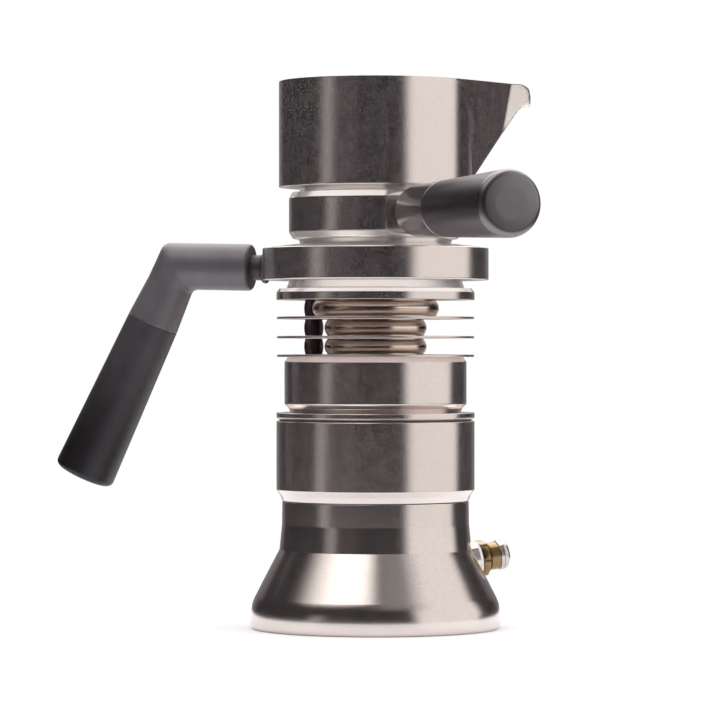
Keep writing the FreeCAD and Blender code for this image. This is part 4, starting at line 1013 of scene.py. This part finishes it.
lowerGripSizes = {
    "finish": "grip_black", "segments": 160, "length": 69.4, "r": 12.42, "round": 2.4, "rootRound": 0.3,
    "tenonR": 6.0, "tenonLength": 10.7, "tenonRound": 0.3, "crown": 0.6, "crownDip": 0.12, "crownRound": 18.0,
}
lowerFerruleSizes = {
    "finish": "black_ferrule", "segments": 96,
    "profile": ((3.0, 43.0), (6.3, 43.0), (6.3, 46.2, 0.4), (5.2, 46.9, 0.3), (4.95, 51.3, 0.2), (3.0, 51.3)),
    "flange": (45.2, 130, 156),  # the group head's side, which the ferrule's end follows
}


# how far the outer side of the bend stands from its pivot, a mitre with a rounded corner
def bendReach(size, angle, turnAngle):
    flat = 2 * size["armR"] + size["innerRound"]
    half = math.radians(turnAngle / 2)
    blunt = flat / math.cos(half) - size["outerRound"] / math.cos(half)
    near = min(angle, turnAngle - angle)
    if near <= math.degrees(math.atan2(blunt * math.sin(half), flat)):
        return flat / math.cos(math.radians(near))
    away = math.radians(turnAngle / 2 - near)
    inside = max(0.0, size["outerRound"] ** 2 - (blunt * math.sin(away)) ** 2)
    return blunt * math.cos(away) + math.sqrt(inside)


def makeLowerHandle(size):
    turnAngle = 90 - size["lean"] + size["tilt"]
    pivotReach = size["armR"] + size["innerRound"]
    bendLength = pivotReach * math.tan(math.radians(turnAngle / 2))
    start = size["corner"] - bendLength
    rotation = lowerPlace.to_3x3()
    armUp, side, armWay = [rotation @ Vector(axis) for axis in ((1, 0, 0), (0, 1, 0), (0, 0, 1))]
    origin = lowerPlace.translation / mm
    pivot = origin + armWay * start - armUp * pivotReach

    chamferStart, armR, chamfer = size["armStart"], size["armR"], size["chamfer"]
    armRows = [(chamferStart, radius) for radius in (0.0, size["startR"], armR - chamfer - size["startGap"])]
    for step in range(size["chamferRows"] + 1):
        turn = math.pi / 2 * step / size["chamferRows"]
        armRows.append((chamferStart + chamfer * (1 - math.cos(turn)), armR - chamfer * (1 - math.sin(turn))))
    armRows += [(chamferStart + chamfer + size["chamferGap"], armR), (start - size["bendGap"], armR)]
    sections = [(origin + armWay * distance, armUp, side, radius, radius) for distance, radius in armRows]

    for step in range(size["bendRows"] + 1):
        angle = turnAngle * step / size["bendRows"]
        reach = bendReach(size, angle, turnAngle)
        outward = Matrix.Rotation(math.radians(-angle), 3, side) @ armUp
        centre = pivot + outward * ((reach + size["innerRound"]) / 2)
        sections.append((centre, outward, side, (reach - size["innerRound"]) / 2, armR))

    swing = Matrix.Rotation(math.radians(-turnAngle), 3, side)
    legUp, legWay = swing @ armUp, swing @ armWay
    legOrigin = pivot + legUp * pivotReach - legWay * start
    legEnd = start + size["legLength"] - bendLength
    legRows = [(start + size["bendGap"], armR + size["legSwell"])]
    legRows += [(legEnd - back, size["legR"] - inward) for back, inward in size["legRim"]]
    legRows += [(legEnd, size["startR"]), (legEnd, 0.0)]
    sections += [(legOrigin + legWay * distance, legUp, side, radius, radius) for distance, radius in legRows]
    legPlace = Matrix.Translation(legOrigin * mm) @ Matrix((legUp, side, legWay)).transposed().to_4x4()

    elbow = sweptPiece("handleElbow", sections, size["finish"], size["segments"])
    withRod(elbow, "DIFFERENCE", *size["bore"], place=lowerPlace)
    socket = (size["socketR"], legEnd - size["socketDepth"], legEnd + size["socketOut"])
    withRod(elbow, "DIFFERENCE", *socket, place=legPlace, segments=64)
    standIn(elbow, "main_body", "handle_elbow")
    return legPlace, legEnd


def makeLowerGrip(size, legPlace, legEnd):
    tenonEnd = legEnd - size["tenonLength"]
    gripEnd = legEnd + size["length"]
    profile = [
        (0, tenonEnd), (size["tenonR"], tenonEnd, size["tenonRound"]), (size["tenonR"], legEnd),
        (lowerSizes["legR"], legEnd, size["rootRound"]), (size["r"], gripEnd - size["crown"], size["round"]),
        (size["r"] * 0.5, gripEnd - size["crownDip"], size["crownRound"]), (0, gripEnd),
    ]
    turnedPart("lowerGrip", {**size, "profile": profile}, "main_body", "lower_grip", place=legPlace)


def makeLowerFerrule(size):
    ferrule = turnedPiece("lowerFerrule", size["profile"], size["finish"], size["segments"], place=lowerPlace)
    withRod(ferrule, "DIFFERENCE", *size["flange"], segments=360)
    standIn(ferrule, "main_body", "lower_ferrule")


makeLowerGrip(lowerGripSizes, *makeLowerHandle(lowerSizes))
makeLowerFerrule(lowerFerruleSizes)


upperFerruleSizes = {
    "finish": "black_ferrule", "segments": 96,
    "profile": ((3.0, 33.46), (5.8, 33.46, 0.15), (4.95, 43.4, 0.15), (3.0, 43.4)),
}
upperCollarSizes = {
    "finish": "collar_metal", "segments": 160,
    "profile": (
        (3.0, 43.4), (9.85, 43.4, 2.2), (10.95, 74.0, 0.3), (7.45, 74.0, 0.1), (7.45, 53.95), (3.0, 53.95),
    ),
}
upperGripSizes = {
    "finish": "grip_upper", "segments": 160,
    "profile": (
        (3.0, 54.0), (7.4, 54.0, 0.3), (7.4, 74.1), (9.75, 74.1), (9.75, 74.65), (10.97, 74.7),
        (12.8, 134.5, 2.8), (6.4, 134.9, 18.0), (0, 135.0), (0, 96.3), (3.0, 96.3),
    ),
}
turnedPart("upperFerrule", upperFerruleSizes, "upper_vessel", "upper_ferrule", place=upperPlace)
turnedPart("upperCollar", upperCollarSizes, "upper_vessel", "upper_collar", place=upperPlace)
turnedPart("upperGrip", upperGripSizes, "upper_vessel", "upper_grip", place=upperPlace)
print("stage: handles")


# distances here are in metres from the middle of the floor
floorLook = {
    "side": 8.0,
    "colour": rgb(0.93, 0.93, 0.93),
    "seenFade": (0.20, 0.34),  # where the camera starts to see the white world instead
    "mirroredFade": (0.26, 0.40),
    "glow": 0.10,  # only mirrored in shiny pieces
    "glowTint": rgb(0.32, 0.71, 1.0),
    "glowStart": (0.074, 0.092),
    "glowEnd": (0.13, 0.17),
}


def makeFloor(look):
    made = bmesh.new()
    bmesh.ops.create_grid(made, x_segments=1, y_segments=1, size=look["side"] / 2)
    mesh = bpy.data.meshes.new("floor")
    made.to_mesh(mesh)
    made.free()
    floor = bpy.data.objects.new("floor", mesh)
    scene.collection.objects.link(floor)
    paint = Finish("floorPaint")
    camera, glossy = paint.node("ShaderNodeLightPath", outlet=("Is Camera Ray", "Is Glossy Ray"))
    reach = paint.radius()
    clearShare = camera * reach.step(*look["seenFade"]) + glossy * reach.step(*look["mirroredFade"])
    near = reach.step(*look["glowStart"]) * (1 - reach.step(*look["glowEnd"]))
    matt = paint.node("ShaderNodeBsdfDiffuse", None, {"Color": look["colour"]})
    strength = glossy * near * look["glow"]
    glow = paint.node("ShaderNodeEmission", None, {"Color": look["glowTint"], "Strength": strength})
    both = paint.node("ShaderNodeAddShader", None, {0: matt, 1: glow})
    clear = paint.node("ShaderNodeBsdfTransparent")
    mixed = paint.node("ShaderNodeMixShader", None, {0: clearShare, 1: both, 2: clear})
    mesh.materials.append(paint.surface(mixed))


# what shiny pieces mirror, by direction in degrees: turn runs round from the camera's side to the right,
# around is the same on both sides, rise runs up from the horizon, edge and strip are slanted turns, and
# overSill is the rise above a sloping sill; a fade is (direction, none here, full here)
worldLook = {
    "ambient": 0.95,  # what all but shiny pieces get
    "darkTint": rgb(1.0, 0.76, 0.90), "lightTint": rgb(1.0, 0.980, 0.950), "plainTint": rgb(1.0, 1.0, 1.0),
    "tintFade": (0.0, 0.25),
    "front": 0.011, "frontDrop": (0.5, ("rise", 15.0, 40.0)), "horizon": (0.022, ("rise", -1.0, -4.0)),
    "leanLimit": 6.0, "edgeLean": 0.6, "stripLean": 1.4, "stripTurn": 64.0,
    "sill": 36.0, "sillTurn": 75.0, "sillSlope": 0.19,
    "rightDrop": (0.55, ("rise", 20.0, 42.0), ("turn", 66.0, 38.0)),
    "backFloor": 0.2, "backRise": 1.2, "backFade": (9.0, 17.0),
    "panels": {
        "right": (
            0.96, ("turn", 31.0, 45.0), ("edge", 114.0, 105.0), ("rise", -9.0, -3.5), ("rise", 70.0, 58.0),
        ),
        "top": (2.0, ("turn", -113.0, -42.0), ("turn", 12.0, -16.0), ("overSill", -6.0, 6.0)),
        "crown": (3.0, ("rise", 72.0, 80.0)),
        "back": (1.0, ("around", 140.0, 166.0)),
        "flank": (1.3, ("around", 88.0, 104.0), ("rise", 36.0, 46.0)),
        "behind": (3.2, ("around", 122.0, 146.0), ("rise", 22.0, 32.0)),
        "ground": (1.0, ("rise", -21.0, -37.0)),
        "veil": (
            0.24, ("turn", -18.0, 22.0), ("turn", 70.0, 30.0), ("rise", 28.0, 40.0), ("rise", 70.0, 60.0),
        ),
    },
    "added": {
        "strip": (0.30, ("strip", -11.0, -3.0), ("strip", 11.0, 3.0), ("rise", 20.0, 6.0)),
        "haze": (0.032, ("turn", -62.0, -50.0), ("turn", -16.0, -28.0), ("rise", 20.0, 6.0)),
    },
}


def makeWorld(look):
    world = bpy.data.worlds.new("studio")
    scene.world = world
    world.use_nodes = True
    paint = Paint(world.node_tree)
    way = paint.node("ShaderNodeTexCoord", outlet="Generated")
    x, y, z = paint.node("ShaderNodeSeparateXYZ", None, {0: way}, (0, 1, 2))
    turn = x.math("ARCTAN2", -y) * (180 / math.pi)
    rise = z.math("ARCSINE") * (180 / math.pi)
    lean = rise.math("MAXIMUM", -look["leanLimit"]).math("MINIMUM", look["leanLimit"])
    sill = look["sill"] + (turn + look["sillTurn"]).math("MAXIMUM", 0.0) * look["sillSlope"]
    directions = {
        "turn": turn,
        "around": turn.math("ABSOLUTE"),
        "rise": rise,
        "edge": turn - lean * look["edgeLean"],
        "strip": turn + look["stripTurn"] - lean * look["stripLean"],
        "overSill": rise - sill,
    }

    def panel(strength, *fades):
        parts = []
        for name, none, full in fades:
            value = directions[name]
            parts.append(value.step(none, full) if none < full else 1 - value.step(full, none))
        return math.prod(parts[1:], start=parts[0]) * strength

    panels = {name: panel(*settings) for name, settings in look["panels"].items()}
    panels["right"] = panels["right"] * (1 - panel(*look["rightDrop"]))
    upOrDown = rise.math("ABSOLUTE").step(*look["backFade"])
    panels["back"] = panels["back"] * (look["backFloor"] + look["backRise"] * upOrDown)
    glow = panels.pop("right")
    for light in panels.values():
        glow = glow.math("MAXIMUM", light)
    for settings in look["added"].values():
        glow = glow + panel(*settings)
    mirrored = look["front"] * (1 - panel(*look["frontDrop"])) + panel(*look["horizon"]) + glow
    camera, shine = paint.node("ShaderNodeLightPath", outlet=("Is Camera Ray", "Is Glossy Ray"))
    strength = camera + (1 - camera) * (shine * mirrored + (1 - shine) * look["ambient"])
    tint = paint.blend(glow.step(*look["tintFade"]), look["darkTint"], look["lightTint"])
    tint = paint.blend(shine, look["plainTint"], tint)
    sky = paint.node("ShaderNodeBackground", None, {"Color": tint, "Strength": strength})
    paint.node("ShaderNodeOutputWorld", None, {"Surface": sky})


lampTarget = (0, 0, 0.1)
lamps = {
    "keyLamp": {"place": (1.1, -0.55, 0.75), "size": 0.9, "power": 4.5},
    "fillLamp": {"place": (-0.8, -0.9, 1.0), "size": 0.7, "power": 3.0},
    "topLamp": {"place": (0.0, 0.1, 1.4), "size": 1.0, "power": 4.0},
    "backLamp": {"place": (-0.5, 1.1, 0.9), "size": 0.9, "power": 3.0},
}


def makeLamp(name, look):
    data = bpy.data.lights.new(name, "AREA")
    data.size = look["size"]
    data.energy = look["power"]
    lamp = bpy.data.objects.new(name, data)
    scene.collection.objects.link(lamp)
    faceTo(lamp, look["place"], lampTarget)
    lamp.visible_glossy = False
    lamp.visible_camera = False


makeFloor(floorLook)
makeWorld(worldLook)
for lampName, lampLook in lamps.items():
    makeLamp(lampName, lampLook)
scene.view_settings.view_transform = "Standard"
print("stage: studio")
